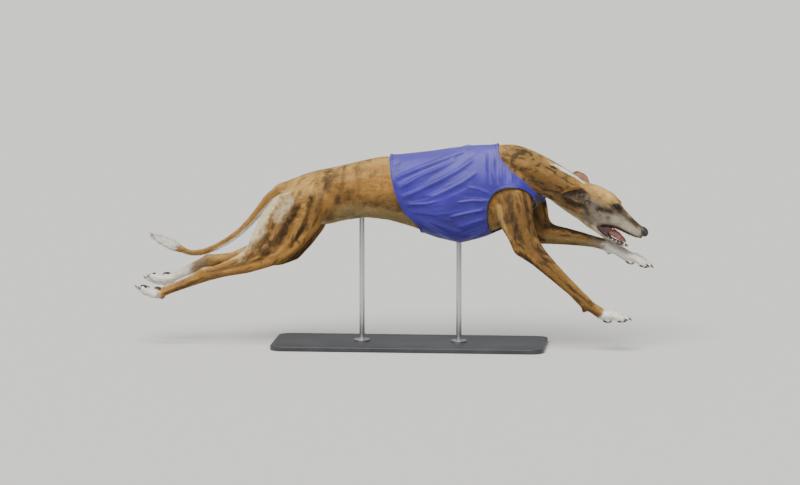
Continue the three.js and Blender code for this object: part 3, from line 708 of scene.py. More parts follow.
def form_lids(skin):
    """Wraps the skin round each eye as two lids with a fold beyond them."""
    points = drawn(skin)
    for side in SIDES.values():
        middle, out, back, up = eye_frame(side)
        offset = points - middle
        distance = lengths(offset)
        near = np.nonzero((distance < 30) & (offset @ out > 0))[0]
        offset, distance = offset[near], distance[near]
        across, rise = offset @ back, offset @ up
        reach = np.hypot(across, rise * 1.15)
        gap = lid_gap(across, rise)
        radius = LID_RADIUS - 4.6 * ramp(-gap, -0.2, 1.1)
        radius += 0.5 * np.exp(-(((gap - 1.2) / 1.0) ** 2))
        radius -= 0.7 * np.exp(-(((gap - 3.6) / 1.0) ** 2)) * ramp(reach, 4, 8)
        share = 1 - ramp(reach, *LID_REACH)
        target = offset / distance[:, None] * radius[:, None]
        points[near] = middle + (offset + (target - offset) * share[:, None])
    put(skin, points)


def paw_frame(name):
    """A paw's knuckle joint, and its three ways: along the toes, across, and out of its back."""
    origin, along, back = (np.array(v, float) for v in PAWS[name])
    along = unit(along)
    across = unit(np.cross(back, along))
    return origin, np.stack([along, across, np.cross(along, across)])


def shape_paws(skin):
    """Creases between the toes, raised knuckles and a tuck behind each claw."""
    points, normals = drawn(skin), normals_of(skin)
    by = by_lines(points)
    for name in PAWS:
        origin, ways = paw_frame(name)
        near = np.nonzero((by[name]["hold"] > 0.4) & (by[name]["at"] > PAW_FROM - 1))[0]
        place = (points[near] - origin) @ ways.T
        facing = normals[near] @ ways.T
        lift = np.zeros(len(near))
        for (left, _), (right, _) in zip(TOES[:-1], TOES[1:]):
            middle = (left + right) / 2 * (0.7 + 0.3 * ramp(place[:, 0], 0, 40))
            crease = np.exp(-(((place[:, 1] - middle) / 2.6) ** 2)) * ramp(place[:, 0], -2, 18)
            lift -= 4.2 * crease * ramp(np.abs(facing[:, 2]), 0.1, 0.5)
        for across, reach in TOES:
            gap = (place[:, 1] - across) ** 2
            for share, height in ((0.3, 1.8), (0.64, 1.8)):
                bump = np.exp(-(gap + (place[:, 0] - share * reach) ** 2) / 36)
                lift += height * bump * ramp(facing[:, 2], 0, 0.5)
            lift -= 1.6 * np.exp(-(gap + (place[:, 0] - 0.47 * reach) ** 2) / 20) * ramp(facing[:, 2], 0, 0.5)
        points[near] += normals[near] * lift[:, None]
    put(skin, points)


def settle(skin):
    """Draws the skin in by the depth of the coat over it."""
    points = drawn(skin)
    by = by_lines(points)
    depth = sum(b["hold"] * {"body": 2.0, "tail": 0.2}.get(name, 1.8) for name, b in by.items())
    depth -= 3.4 * by["tail"]["hold"] * ramp(by["tail"]["at"], 9.4, 10.6)
    face = ramp(to_head(points)[:, 0], 10, 90) * by["body"]["hold"]
    depth = toward(depth, 1.1, face)
    for name in PAWS:
        paw = ramp(by[name]["at"], PAW_FROM - 2, PAW_FROM) * by[name]["hold"]
        depth = toward(depth, 0.9, paw)
    depth = toward(depth, 0.8, by["right_ear"]["hold"] + by["left_ear"]["hold"])
    put(skin, points - normals_of(skin) * depth[:, None])


def pick_faces(obj, chosen):
    """Selects the faces marked in an array, and nothing else, and goes into edit mode."""
    only(obj)
    mesh = obj.data
    mesh.vertices.foreach_set("select", np.zeros(len(mesh.vertices), bool))
    mesh.edges.foreach_set("select", np.zeros(len(mesh.edges), bool))
    mesh.polygons.foreach_set("select", np.asarray(chosen, bool))
    bpy.ops.object.mode_set(mode="EDIT")
    bpy.ops.mesh.select_mode(type="FACE")


def refine(obj, chosen):
    pick_faces(obj, chosen)
    bpy.ops.mesh.subdivide(number_cuts=1)
    bpy.ops.object.mode_set(mode="OBJECT")


def thin_out(obj, chosen, ratio):
    pick_faces(obj, chosen)
    bpy.ops.mesh.decimate(ratio=ratio)
    bpy.ops.object.mode_set(mode="OBJECT")


def under_jacket(points):
    """How far a point lies inside the jacket's two hems along x, in mm."""
    x, z = points[:, 0], points[:, 2]
    rear = x - np.interp(z, [330, 372, 430, 500, 566, 620], [78, 70, 26, 4, -16, -20])
    front = np.interp(z, [300, 430, 470, 520, 590, 620], [440, 440, 385, 345, 308, 300]) - x
    return np.minimum(rear, front)


def by_shoulder(points, reach):
    """True for the points within reach of where a foreleg comes out of the jacket."""
    near = np.zeros(len(points), bool)
    for x, y, z in SHOULDERS:
        near |= (np.hypot(points[:, 0] - x, points[:, 2] - z) < reach) & (points[:, 1] * y > 0)
    return near


def on_paws(by, start):
    """True for the points of the paws, from a place on their lines."""
    return np.any([(by[name]["hold"] > 0.5) & (by[name]["at"] > start) for name in PAWS], axis=0)


def lighten(skin):
    """Fewer faces where the form is broad or the jacket hides it, and more on the head, ears and paws."""
    centres = face_places(skin)
    trunk = by_lines(centres)["body"]["hold"] > 0.5
    hidden = trunk & ~by_shoulder(centres, SHOULDER_SKIN) & (under_jacket(centres) > HIDDEN_SKIN)
    thin_out(skin, hidden, HIDDEN_RATIO)
    centres = face_places(skin)
    by = by_lines(centres)
    head = (to_head(centres)[:, 0] > 25) & (by["body"]["hold"] > 0.3)
    ears = (by["right_ear"]["hold"] > 0.4) | (by["left_ear"]["hold"] > 0.4)
    thin_out(skin, ~(head | ears | on_paws(by, PAW_FROM - 0.5)), THIN_RATIO)
    centres = face_places(skin)
    by = by_lines(centres)
    muzzle = (to_head(centres)[:, 0] > 90) & (by["body"]["hold"] > 0.3)
    refine(skin, muzzle | on_paws(by, PAW_FROM))
    points = drawn(skin)
    soft = ramp(to_head(points)[:, 0], 66, 76) * 0.5
    by = by_lines(points)
    for name in PAWS:
        soft += 0.4 * ramp(by[name]["at"], PAW_FROM - 0.1, PAW_FROM + 0.1) * by[name]["hold"]
    put(skin, evened(points, neighbour_mean(skin), np.clip(soft, 0, 0.5)[:, None], 4))


def refine_face(skin):
    """Finer faces round the eyes."""
    centres = face_places(skin)
    gaps = [lengths(centres - eye_frame(side)[0]) for side in SIDES.values()]
    refine(skin, np.min(gaps, axis=0) < FACE_REACH)


# Finishes


class Wire:
    """A socket in a finish; arithmetic on it adds the Math nodes that work it out."""

    def __init__(self, finish, socket):
        self.finish = finish
        self.socket = socket

    def _math(self, operation, a, b):
        return self.finish.add("Math", {"operation": operation}, {0: a, 1: b})

    def __add__(self, other):
        return self._math("ADD", self, other)

    def __sub__(self, other):
        return self._math("SUBTRACT", self, other)

    def __rsub__(self, other):
        return self._math("SUBTRACT", other, self)

    def __mul__(self, other):
        return self._math("MULTIPLY", self, other)

    __radd__ = __add__
    __rmul__ = __mul__


class Finish:
    """One material: its shader's fixed values, and the nodes that vary over the surface."""

    def __init__(self, name, **fixed):
        self.material = bpy.data.materials.new(name)
        self.material.use_nodes = True
        self.tree = self.material.node_tree
        self.shader = self.tree.nodes["Principled BSDF"]
        for socket, value in fixed.items():
            self.shader.inputs[socket.replace("_", " ")].default_value = value

    def add(self, kind, settings=None, values=None, out=0):
        node = self.tree.nodes.new("ShaderNode" + kind)
        for name, value in (settings or {}).items():
            setattr(node, name, value)
        for socket, value in (values or {}).items():
            if isinstance(value, Wire):
                self.tree.links.new(value.socket, node.inputs[socket])
            else:
                node.inputs[socket].default_value = value
        return Wire(self, node.outputs[out])

    def place(self):
        return self.add("TexCoord", out="Object")

    def mark(self, name, out="Fac"):
        return self.add("Attribute", {"attribute_name": name}, out=out)

    def stretched(self, place, scale):
        return self.add("Mapping", {}, {"Vector": place, "Scale": scale})

    def noise(self, place, scale, detail):
        return self.add("TexNoise", {}, {"Vector": place, "Scale": scale, "Detail": detail})

    def between(self, value, low, high):
        """0 below low, 1 above high."""
        values = {"Value": value, "From Min": low, "From Max": high}
        return self.add("MapRange", {"interpolation_type": "SMOOTHSTEP"}, values)

    def blend(self, share, a, b, way="MIX"):
        settings = {"data_type": "RGBA", "blend_type": way}
        return self.add("Mix", settings, {0: share, 6: a, 7: b}, out=2)

    def feed(self, socket, wire):
        self.tree.links.new(wire.socket, self.shader.inputs[socket])

    def bump(self, height, strength, depth):
        values = {"Height": height, "Strength": strength, "Distance": depth}
        self.feed("Normal", self.add("Bump", {}, values))

    def on(self, *objects):
        for obj in objects:
            obj.data.materials.clear()
            obj.data.materials.append(self.material)


def linear(code):
    """A colour such as "B98A4E", as the shader's numbers."""
    parts = np.array([int(code[i : i + 2], 16) for i in (0, 2, 4)]) / 255
    return np.where(parts <= 0.04045, parts / 12.92, ((parts + 0.055) / 1.055) ** 2.4)


def solid(code):
    return (*linear(code), 1)


# Markings of the coat, with painted light and shade among them

COLOURS = {
    "fawn": "A67A3C",
    "light_fawn": "DFB870",
    "brindle": "2E2319",
    "grey": "7E776A",
    "pale_grey": "AEA695",
    "cream": "E6D6B0",
    "white": "F8F4EA",
    "black": "1E1A18",
    "belly": "8E7C54",
    "inner_mouth": "4A2B2A",
    "lip": "241E1D",
    "pink": "946F60",
    # painted shade for the hollow of the near ear
    "ear_hollow_shade": "2A211F",
    "brown": "5E4323",
}
# Marks on the body and legs: line, path in the side view, half width, colour, strength.
SIDE_MARKS = [
    ("body", [(345, 198), (378, 203), (412, 210)], 22, "brindle", 0.4),
    ("body", [(346, 168), (343, 186), (338, 202)], 8, "brindle", 0.55),
    ("body", [(362, 172), (360, 190)], 7, "brindle", 0.35),
    ("hind", [(276, 196), (262, 215), (250, 236), (240, 250)], 27, "cream", 0.95),
    ("hind", [(290, 200), (279, 214)], 20, "cream", 0.5),
    ("hind", [(301, 204), (291, 220), (279, 237), (266, 250)], 13, "brindle", 0.80),
    ("hind", [(297, 208), (286, 228)], 18, "brindle", 0.35),
    ("hind", [(312, 196), (309, 213), (303, 229), (293, 243)], 7, "brindle", 0.72),
    ("hind", [(322, 192), (322, 209), (315, 224)], 6, "brindle", 0.45),
    ("hind", [(268, 236), (256, 250), (246, 260)], 9, "brindle", 0.55),
    ("hind", [(262, 258), (240, 264), (214, 271)], 6, "brindle", 0.32),
    ("hind", [(238, 255), (222, 261), (206, 267)], 7, "light_fawn", 0.75),
    # a dark line down the hind pastern: painted shade along the groove beside its tendon
    ("hind", [(205, 277), (186, 285), (166, 293)], 5, "brindle", 0.60),
    ("body", [(329, 168), (328, 181), (330, 192)], 14, "brindle", 0.72),
    ("body", [(337, 190), (338, 206), (330, 220)], 13, "brindle", 0.45),
    ("body", [(340, 214), (360, 212), (384, 216), (410, 222)], 22, "belly", 0.75),
    ("body", [(384, 170), (389, 186)], 12, "fawn", 0.8),
    ("body", [(368, 205), (385, 206), (402, 210)], 12, "brindle", 0.28),
    ("body", [(531, 181), (548, 191), (565, 201), (580, 209)], 11, "brindle", 0.55),
    ("body", [(502, 160), (516, 168), (530, 178)], 9, "brindle", 0.40),
    ("body", [(506, 150), (528, 160), (548, 172)], 10, "brindle", 0.22),
    ("body", [(502, 143), (525, 149), (548, 160)], 9, "light_fawn", 0.7),
    ("fore", [(508, 196), (511, 212), (517, 230), (521, 242)], 10, "brindle", 0.66),
    ("fore", [(525, 200), (527, 216), (533, 234)], 7, "brindle", 0.55),
    ("fore", [(499, 205), (502, 222), (509, 238)], 8, "light_fawn", 0.45),
    ("fore", [(519, 252), (537, 268), (556, 286), (574, 303)], 7, "brindle", 0.78),
    ("fore", [(531, 244), (549, 265), (570, 286), (590, 304)], 6, "brindle", 0.62),
    ("fore", [(546, 262), (566, 281), (586, 297)], 5, "fawn", 0.5),
    ("fore", [(582, 305), (592, 312), (603, 318)], 5, "brindle", 0.5),
]
REACH_MARKS = [
    ([(545, 226), (565, 229), (584, 233), (601, 238)], 9, "brindle", 0.80),
    ([(536, 212), (542, 226)], 16, "brindle", 0.45),
    ([(547, 208), (553, 222), (568, 226)], 8, "light_fawn", 0.6),
    ([(548, 238), (570, 240), (592, 243)], 11, "belly", 0.6),
]
# Marks on the head, mirrored: path in the head frame, reach to each side, colour, strength.
HEAD_MARKS = [
    ([(58, 44, -45), (95, 38, -42)], 42, "grey", 0.75),
    ([(120, 24, -45), (70, 40, -90)], 30, "grey", 0.8),
    ([(108, 36, -8), (84, 44, -22), (60, 46, -32)], 13, "grey", 0.65),
    ([(150, 20, -25), (228, 14, -14)], 34, "grey", 0.95),
    ([(128, 28, -52), (160, 22, -38), (200, 19, -28), (230, 12, -18)], 13, "pale_grey", 0.85),
    ([(122, 18, 6), (150, 12, 6), (176, 9, 6)], 8, "pale_grey", 0.5),
    ([(132, 12, 12), (158, 9, 10)], 8, "brindle", 0.28),
    ([(176, 12, 4), (200, 10, 3)], 9, "brindle", 0.70),
    ([(123, 22, 2), (150, 21, -16), (160, 20, -20)], 6, "brindle", 0.35),
    ([(127, 19, 2), (114, 27, 3), (98, 31, 3)], 11, "black", 0.9),
    ([(120, 28, -10), (104, 35, -16)], 10, "grey", 0.85),
    ([(214, 11, 4), (232, 8, 2)], 8, "black", 0.75),
    ([(114, 33, -14), (98, 38, -19), (82, 43, -30)], 12, "brindle", 0.85),
    ([(118, 30, -26), (100, 38, -36)], 8, "pale_grey", 0.55),
    ([(140, 23, -26), (182, 19, -22), (228, 13, -15)], 17, "pale_grey", 0.7),
    ([(136, 17, 4), (170, 13, 2), (206, 11, 0)], 9, "brindle", 0.72),
    ([(92, 41, -52), (126, 31, -60)], 15, "pale_grey", 0.6),
    ([(40, 46, -54), (68, 45, -64)], 11, "brindle", 0.6),
    ([(96, 20, 26), (106, 22, 20)], 6, "light_fawn", 0.8),
    ([(84, 14, 20), (40, 14, 16)], 24, "light_fawn", 0.7),
    ([(40, 44, -50), (20, 42, -70), (0, 40, -84)], 15, "brindle", 0.60),
    ([(10, 43, -28), (34, 45, -30)], 12, "brindle", 0.42),
    ([(96, 34, -80), (128, 25, -88), (176, 14, -88)], 12, "pale_grey", 0.75),
    ([(196, 10, -76), (224, 7, -72)], 10, "brindle", 0.8),
    ([(226, 10, -8), (236, 8, -20)], 7, "black", 0.65),
]
NAPE_STRIPE = [(-118, -15, -30), (-60, -14, -10), (-4, -12, 2)]
THROAT = [(-60, 0, -118), (0, 0, -104), (70, 0, -108), (120, 0, -98)]
# The streaks' length and width, and how dark they are, along each line: first row of the line, values there.
STREAKS = {
    "body": [
        (0, 9, 6, 0.3), (4, 11, 6, 0.5), (6, 14, 7, 0.7), (9, 20, 8, 0.95),
        (12, 16, 12, 0.6), (16, 12, 26, 0.55), (24, 14, 22, 0.45),
    ],
    "tail": [(0, 60, 9, 0.35), (5, 50, 9, 0.15), (13, 50, 9, 0.0)],
    "fore": [(0, 50, 8, 0.7), (5, 55, 8, 0.85), (11, 50, 7, 0.6), (14, 40, 8, 0.05)],
    "hind": [(0, 55, 10, 0.6), (4, 60, 9, 0.75), (8, 60, 7, 0.5), (14, 40, 7, 0.1)],
    "ear": [(0, 14, 7, 0.5), (4, 14, 7, 0.5)],
}
# Paws and pasterns: line, colour, strength, raggedness of the edge, and where it starts and is full.
FEET = [
    ("right_fore", "white", 0.97, 0.5, 11.2, 11.7),
    ("left_fore", "pale_grey", 0.5, 1.0, 8.2, 9.4),
    ("left_fore", "white", 0.97, 0.5, 9.5, 10.1),
    ("right_hind", "white", 0.9, 0.5, 11.6, 12.3),
    ("left_hind", "grey", 0.6, 0.5, 8.6, 9.4),
    ("left_hind", "white", 0.92, 0.5, 9.9, 10.6),
]
# The edges of the upper lip and of the lower jaw: along the head, and height there.
LIP = ([110, 128, 142, 166, 190, 212, 227, 240], [-86, -74, -60, -50, -44, -37, -30, -22])
JAW_EDGE = ([120, 151, 177, 198, 213, 222], [-78, -79, -75, -68, -63.5, -62])


def way_out(place, here):
    """How far some of the points lie above their line and across it."""
    out = place["out"][here]
    return (out * np.cross(place["tangent"][here], (0, 1, 0))).sum(1), out[:, 1]


def nearest_line(by):
    """Each line in turn: its number, its name, the points that it holds most, and where they lie by it."""
    strongest = np.argmax([place["hold"] for place in by.values()], axis=0)
    for i, (name, place) in enumerate(by.items()):
        here = strongest == i
        yield i, name, here, place["at"][here], *way_out(place, here)


def streaks(points, by):
    """The brindle's darkness at each point, from 0 to 1."""
    total = np.zeros(len(points))
    for name, place in by.items():
        here = np.nonzero(place["hold"] > 0.03)[0]
        rows = np.array(STREAKS[name.split("_")[-1]], float)
        at = place["at"][here]
        length, width, strength = (np.interp(at, rows[:, 0], rows[:, k]) for k in (1, 2, 3))
        places = np.array(LINES[name])[:, :3]
        run = np.concatenate([[0], np.cumsum(lengths(np.diff(places, axis=0)))])
        along = np.interp(at, range(len(run)), run)
        rise, across = way_out(place, here)
        wave = noise(points[here] / 31, 5) * 26
        grain = np.stack([along / length, (rise + wave) / width, (across + wave) / width], 1)
        value = 0.62 * noise(grain, 11) + 0.38 * noise(grain * 2.1 + 7, 12)
        total[here] += place["hold"][here] * ramp(value, 0.50, 0.72) * strength
    return total


def dab(colours, name, strength):
    colours += (linear(COLOURS[name]) - colours) * strength[:, None]


def side_marks(colours, points, normals, by, ragged):
    """The marks on the body and legs."""
    speckle = noise(points / (7, 5, 5), 51)
    for line, steps, width, colour, strength in SIDE_MARKS:
        path = from_view(steps, NEAR_SIDE)
        for name, side in SIDES.items():
            if line == "fore" and name == "left":
                continue
            hold = by[line if line == "body" else f"{name}_{line}"]["hold"]
            if line == "body":
                hold = hold * (points[:, 1] * side > -4)
            here = np.nonzero(hold > 0.05)[0]
            gap = gap_to(path, points[here][:, SIDE_VIEW]) + ragged[here] * width
            facing = 0.35 + 0.65 * ramp(normals[here, 1] * side, -0.3, 0.4)
            patch = np.zeros(len(points))
            patch[here] = strength * (1 - ramp(gap, 0.35 * width, 1.35 * width))
            patch[here] *= ramp(hold[here], 0.05, 0.5) * facing
            if colour == "brindle":
                patch[here] *= np.clip(0.45 + 1.1 * speckle[here], 0, 1)
            dab(colours, colour, patch)
    for steps, width, colour, strength in REACH_MARKS:
        gap = gap_to(from_view(steps, FAR_FORE), points[:, SIDE_VIEW]) + ragged * width
        dab(colours, colour, strength * (1 - ramp(gap, 0.45 * width, 1.25 * width)) * by["left_fore"]["hold"])


def head_marks(colours, points, normals, by, ragged):
    """The marks on the head and neck, and the colours of the lips, lids and mouth."""
    places = to_head(points)
    mirrored = places * (1, 0, 1) + np.abs(places) * (0, 1, 0)
    head = by["body"]["hold"] * ramp(places[:, 0], -70, -40)
    for path, width, colour, strength in HEAD_MARKS:
        gap = gap_to(path, mirrored) + ragged * 1.3 * width
        dab(colours, colour, strength * (1 - ramp(gap, 0.15 * width, 1.45 * width)) * head)
    stripe = gap_to(NAPE_STRIPE, places) + ragged * 5
    dab(colours, "white", 0.95 * (1 - ramp(stripe, 6, 10)) * by["body"]["hold"])
    throat = gap_to(THROAT, places * (1, 0.5, 1)) + ragged * 8
    dab(colours, "cream", 0.7 * (1 - ramp(throat, 10, 24)) * by["body"]["hold"])
    way = normals @ HEAD_TURN
    u, v = places[:, 0], places[:, 2]
    inside_upper = ramp(u, 112, 122) * ramp(-way[:, 2], 0.25, 0.6) * ramp(v, -78, -72) * (u < 233)
    dab(colours, "inner_mouth", inside_upper * head)
    rim = np.exp(-(((np.interp(u, *LIP) - v) / 5.5) ** 2)) * ramp(u, 118, 130) * (1 - 0.6 * ramp(u, 215, 232))
    dab(colours, "lip", 0.9 * rim * head * ramp(v, -80, -70))
    for side in SIDES.values():
        eye, _, back, up = eye_frame(side)
        offset = points - eye
        gap = np.where(lengths(offset) < 24, lid_gap(offset @ back, offset @ up), 99)
        dab(colours, "lip", 0.95 * (1 - ramp(gap, 2.2, 4.6)))
    floor = ramp(u, 112, 122) * ramp(way[:, 2], 0.1, 0.5) * ramp(-v, 58, 62)
    dab(colours, "inner_mouth", floor * head)
    edge = np.exp(-(((v - np.interp(u, *JAW_EDGE) + 2) / 4.0) ** 2)) * ramp(u, 118, 130)
    dab(colours, "lip", 0.92 * edge * head)


def ear_marks(colours, points, normals, by, ragged):
    """Each ear: within, painted shade on the near one and pink on the far one, grey hairs at the front of the
    near one's cup, and a rim of another colour, fawn along the near one's top as a painted highlight.
    """
    places = to_head(points)
    for side in SIDES:
        rows, opens = EAR_FORMS[side]
        rows = np.array(rows, float)[::-1]
        opens = unit(np.array(opens, float))
        hold = by[f"{side}_ear"]["hold"]
        out, up, half = (np.interp(places[:, 0], rows[:, 0], rows[:, k]) for k in (1, 2, 3))
        offset = places - np.stack([places[:, 0], out, up], 1)
        offset -= (offset @ opens)[:, None] * opens
        share = lengths(offset) / half
        rim = ramp(share + 0.2 * ragged, 0.70, 0.90)
        inside = ramp(normals @ (HEAD_TURN @ opens), 0.05, 0.55)
        dab(colours, "brown", 0.75 * hold * (1 - inside))
        if side == "right":
            # Near-black within the near ear's cup: painted shade in its hollow.
            dab(colours, "ear_hollow_shade", 0.96 * hold * inside * (1 - rim))
            hairs = ramp(noise(points / (14, 2.2, 2.2), 41), 0.45, 0.75) * ramp(places[:, 0], -8, 14)
            dab(colours, "grey", 0.75 * hairs * hold * inside * (1 - rim))
            # Fawn along the top of the near ear's rim, a painted highlight, and brown along its lower edge.
            dab(colours, "fawn", 0.85 * hold * rim * ramp(offset[:, 2], -6, 4))
            dab(colours, "brown", 0.7 * hold * rim * ramp(-offset[:, 2], 0, 8))
        else:
            dab(colours, "pink", 0.9 * hold * inside * (1 - rim))
            dab(colours, "brown", 0.7 * hold * rim)


def coat_colours(points, normals, by):
    """The coat's colour at each point, as linear red, green and blue."""
    broad = noise(points / 46, 3)
    ragged = noise(points / 13, 21) - 0.5 + 0.5 * (noise(points / 5, 22) - 0.5)
    colours = np.tile(linear(COLOURS["fawn"]), (len(points), 1))
    body, tail = by["body"]["hold"], by["tail"]
    # Lighter fawn on every surface that faces up: painted light from above.
    dab(colours, "light_fawn", 0.75 * ramp(normals[:, 2], 0.1, 0.95) * (0.5 + 0.5 * broad))
    dab(colours, "brown", 0.38 * ramp(broad, 0.38, 0.72))
    under = ramp(-normals[:, 2], 0.0, 0.75)
    dab(colours, "belly", 0.5 * under * body)
    dab(colours, "cream", 0.45 * ramp(-normals[:, 2], 0.6, 0.95) * body)
    fores = by["right_fore"]["hold"] + by["left_fore"]["hold"]
    shoulder = body * ramp(points[:, 0], 290, 360) * (1 - ramp(to_head(points)[:, 0], -20, 40))
    front = np.clip(fores + shoulder, 0, 1)
    # Browner forelegs and shoulders, and browner still where the surface faces sideways or down, as painted
    # shade.
    dab(colours, "brown", 0.5 * front * (0.6 + 0.4 * ramp(-normals[:, 2], -0.8, 0.2)))
    dab(colours, "brindle", streaks(points, by))
    side_marks(colours, points, normals, by, ragged)
    head_marks(colours, points, normals, by, ragged)
    ear_marks(colours, points, normals, by, ragged)
    # Inner sides of the hind legs: cream on the right hind; on the left hind, under the body, the brindle
    # colour as painted shade.
    for name, side in SIDES.items():
        hind = by[f"{name}_hind"]
        inner = ramp(-normals[:, 1] * side, 0.2, 0.8) * hind["hold"] * (1 - ramp(hind["at"], 4, 7))
        dab(colours, "cream" if name == "right" else "brindle", 0.7 * inner)
    for name, colour, strength, uneven, start, full in FEET:
        reach = ramp(by[name]["at"] + uneven * ragged, start, full)
        dab(colours, colour, strength * reach * by[name]["hold"])
    fringe = ramp(-normals[:, 2], 0.1, 0.6) * ramp(tail["at"], 1.0, 2.2) * (1 - ramp(tail["at"], 6.2, 7.6))
    dab(colours, "white", 0.9 * fringe * tail["hold"])
    dab(colours, "white", 0.97 * ramp(tail["at"] + 0.6 * ragged, 10.0, 10.6) * tail["hold"])
    return np.clip(colours, 0, 1)


def hair_way(points, normals, by):
    """Which way the hair lies: from the nose back to the tail, and down the legs."""
    way = sum(b["hold"][:, None] * b["tangent"] for b in by.values())
    flank = by["body"]["hold"] * ramp(points[:, 0], -300, -200) * (1 - ramp(points[:, 0], 480, 560))
    way[:, 2] -= 0.35 * flank * (1 - np.abs(normals[:, 2]))
    way -= (way * normals).sum(1, keepdims=True) * normals
    return unit(way)


def colour_mark(obj, colours):
    data = np.concatenate([colours, np.ones((len(colours), 1))], 1)
    obj.data.color_attributes.new("coat", "FLOAT_COLOR", "POINT").data.foreach_set("color", data.ravel())


def mark_skin(skin):
    points, normals = drawn(skin), normals_of(skin)
    by = by_lines(points)
    colour_mark(skin, coat_colours(points, normals, by))
    run = np.zeros_like(points)
    for i, _, here, at, rise, across in nearest_line(by):
        run[here] = np.stack([at * 45 + 700 * i, rise, across], 1)
    skin.data.attributes.new("hair_run", "FLOAT_VECTOR", "POINT").data.foreach_set("vector", run.ravel())


# The coat: thin tufts that lie along the skin

COAT_SEED = 20
MOST_TUFTS = 49500  # in one piece, at four triangles each
ROOT_DEPTH = 0.35  # how far a tuft's root is sunk into the skin
UNEVEN_SHADE = 0.22  # how much the tufts' shading differs from the skin's
# For each part of the coat: the tufts' length and width, how far their tips stand off the skin, and how many.
COAT_PARTS = {
    "coat_head": (4.2, 1.0, 0.55, 46000),
    "coat_neck": (9.0, 1.7, 1.1, 34000),
    "coat_loin": (10.0, 1.8, 1.2, 46000),
    "coat_right_hind": (9.0, 1.6, 1.1, 44000),
    "coat_left_hind": (9.0, 1.6, 1.1, 40000),
    "coat_right_fore": (7.5, 1.4, 0.9, 36000),
    "coat_left_fore": (7.5, 1.4, 0.9, 34000),
    "coat_tail": (13.0, 1.6, 1.6, 9000),
    "coat_paws": (4.8, 1.1, 0.6, 26000),
    "coat_ears": (3.0, 0.85, 0.3, 16000),
}


def part_of_coat(points, by):
    """Which part of the coat each point belongs to, as its place in COAT_PARTS."""
    order = list(COAT_PARTS)
    part = np.full(len(points), order.index("coat_loin"))
    part[points[:, 0] > 250] = order.index("coat_neck")
    part[to_head(points)[:, 0] > -12] = order.index("coat_head")
    holds = {name: b["hold"] for name, b in by.items()}
    for name in PAWS:
        own = holds[name] > 0.45
        part[own] = order.index(f"coat_{name}")
        part[own & (by[name]["at"] > PAW_FROM - 0.6)] = order.index("coat_paws")
    part[holds["tail"] > 0.5] = order.index("coat_tail")
    part[(holds["right_ear"] > 0.5) | (holds["left_ear"] > 0.5)] = order.index("coat_ears")
    return part


def bare(points, normals, by):
    """True where no hair grows or none shows: under the jacket, on the lids, in the mouth, under the nose."""
    trunk = by["body"]["hold"] > 0.35
    hidden = trunk & (under_jacket(points) > HIDDEN_HAIR) & ~by_shoulder(points, SHOULDER_HAIR)
    places = to_head(points)
    way = normals @ HEAD_TURN
    u, v = places[:, 0], places[:, 2]
    mouth = (u > 112) & (v < -22) & (v > -78) & (np.abs(way[:, 2]) > 0.55) & (np.abs(places[:, 1]) < 22)
    mouth |= (u > 118) & (way[:, 2] > 0.3) & (v < -55)
    hidden |= trunk & (mouth | (u > 236))
    for side in SIDES.values():
        middle, _, back, up = eye_frame(side)
        offset = points - middle
        gap = lid_gap(offset @ back, offset @ up)
        hidden |= (lengths(offset) < 22) & (gap < 2.2)
    return hidden


def scatter(skin, rng):
    """Points spread over the skin, each with its normal, and denser where the tufts are smaller."""
    mesh = skin.data
    mesh.calc_loop_triangles()
    corners = read(mesh.loop_triangles, "vertices", 3, np.int64)
    points, normals = drawn(skin), normals_of(skin)
    a, b, c = (points[corners[:, k]] for k in range(3))
    area = lengths(np.cross(b - a, c - a)) / 2
    middle = (a + b + c) / 3
    by = by_lines(middle)
    order = list(COAT_PARTS.values())
    part = part_of_coat(middle, by)
    area = area * ~bare(middle, unit(np.cross(b - a, c - a)), by)
    flatness = lengths(neighbour_mean(skin)(normals))
    ears = by["right_ear"]["hold"] + by["left_ear"]["hold"] > 0.5
    area[ears & (flatness[corners].min(axis=1) < RIM_FLATNESS)] = 0
    total = np.bincount(part, area, minlength=len(order))
    wanted = np.array([row[3] for row in order]) / np.maximum(total, 1)
    expected = area * wanted[part]
    number = np.floor(expected + rng.random(len(area))).astype(int)
    face = np.repeat(np.arange(len(area)), number)
    r, s = rng.random((2, len(face)))
    flip = r + s > 1
    r[flip], s[flip] = 1 - r[flip], 1 - s[flip]
    share = np.stack([1 - r - s, r, s], 1)
    where = sum(share[:, k, None] * points[corners[face, k]] for k in range(3))
    facing = unit(sum(share[:, k, None] * normals[corners[face, k]] for k in range(3)))
    return where, facing, part[face]


def unwrap(by, points):
    """Each point's place on an unrolling of the skin: along its line, and round it."""
    u, v = np.zeros(len(points)), np.zeros(len(points))
    for i, name, here, at, rise, across in nearest_line(by):
        turn = np.arctan2(across, rise) / (2 * math.pi) + 0.5
        u[here] = at / (len(LINES[name]) - 1)
        v[here] = (i + 0.04 + 0.92 * turn) / len(by)
    return 0.01 + 0.98 * u, v


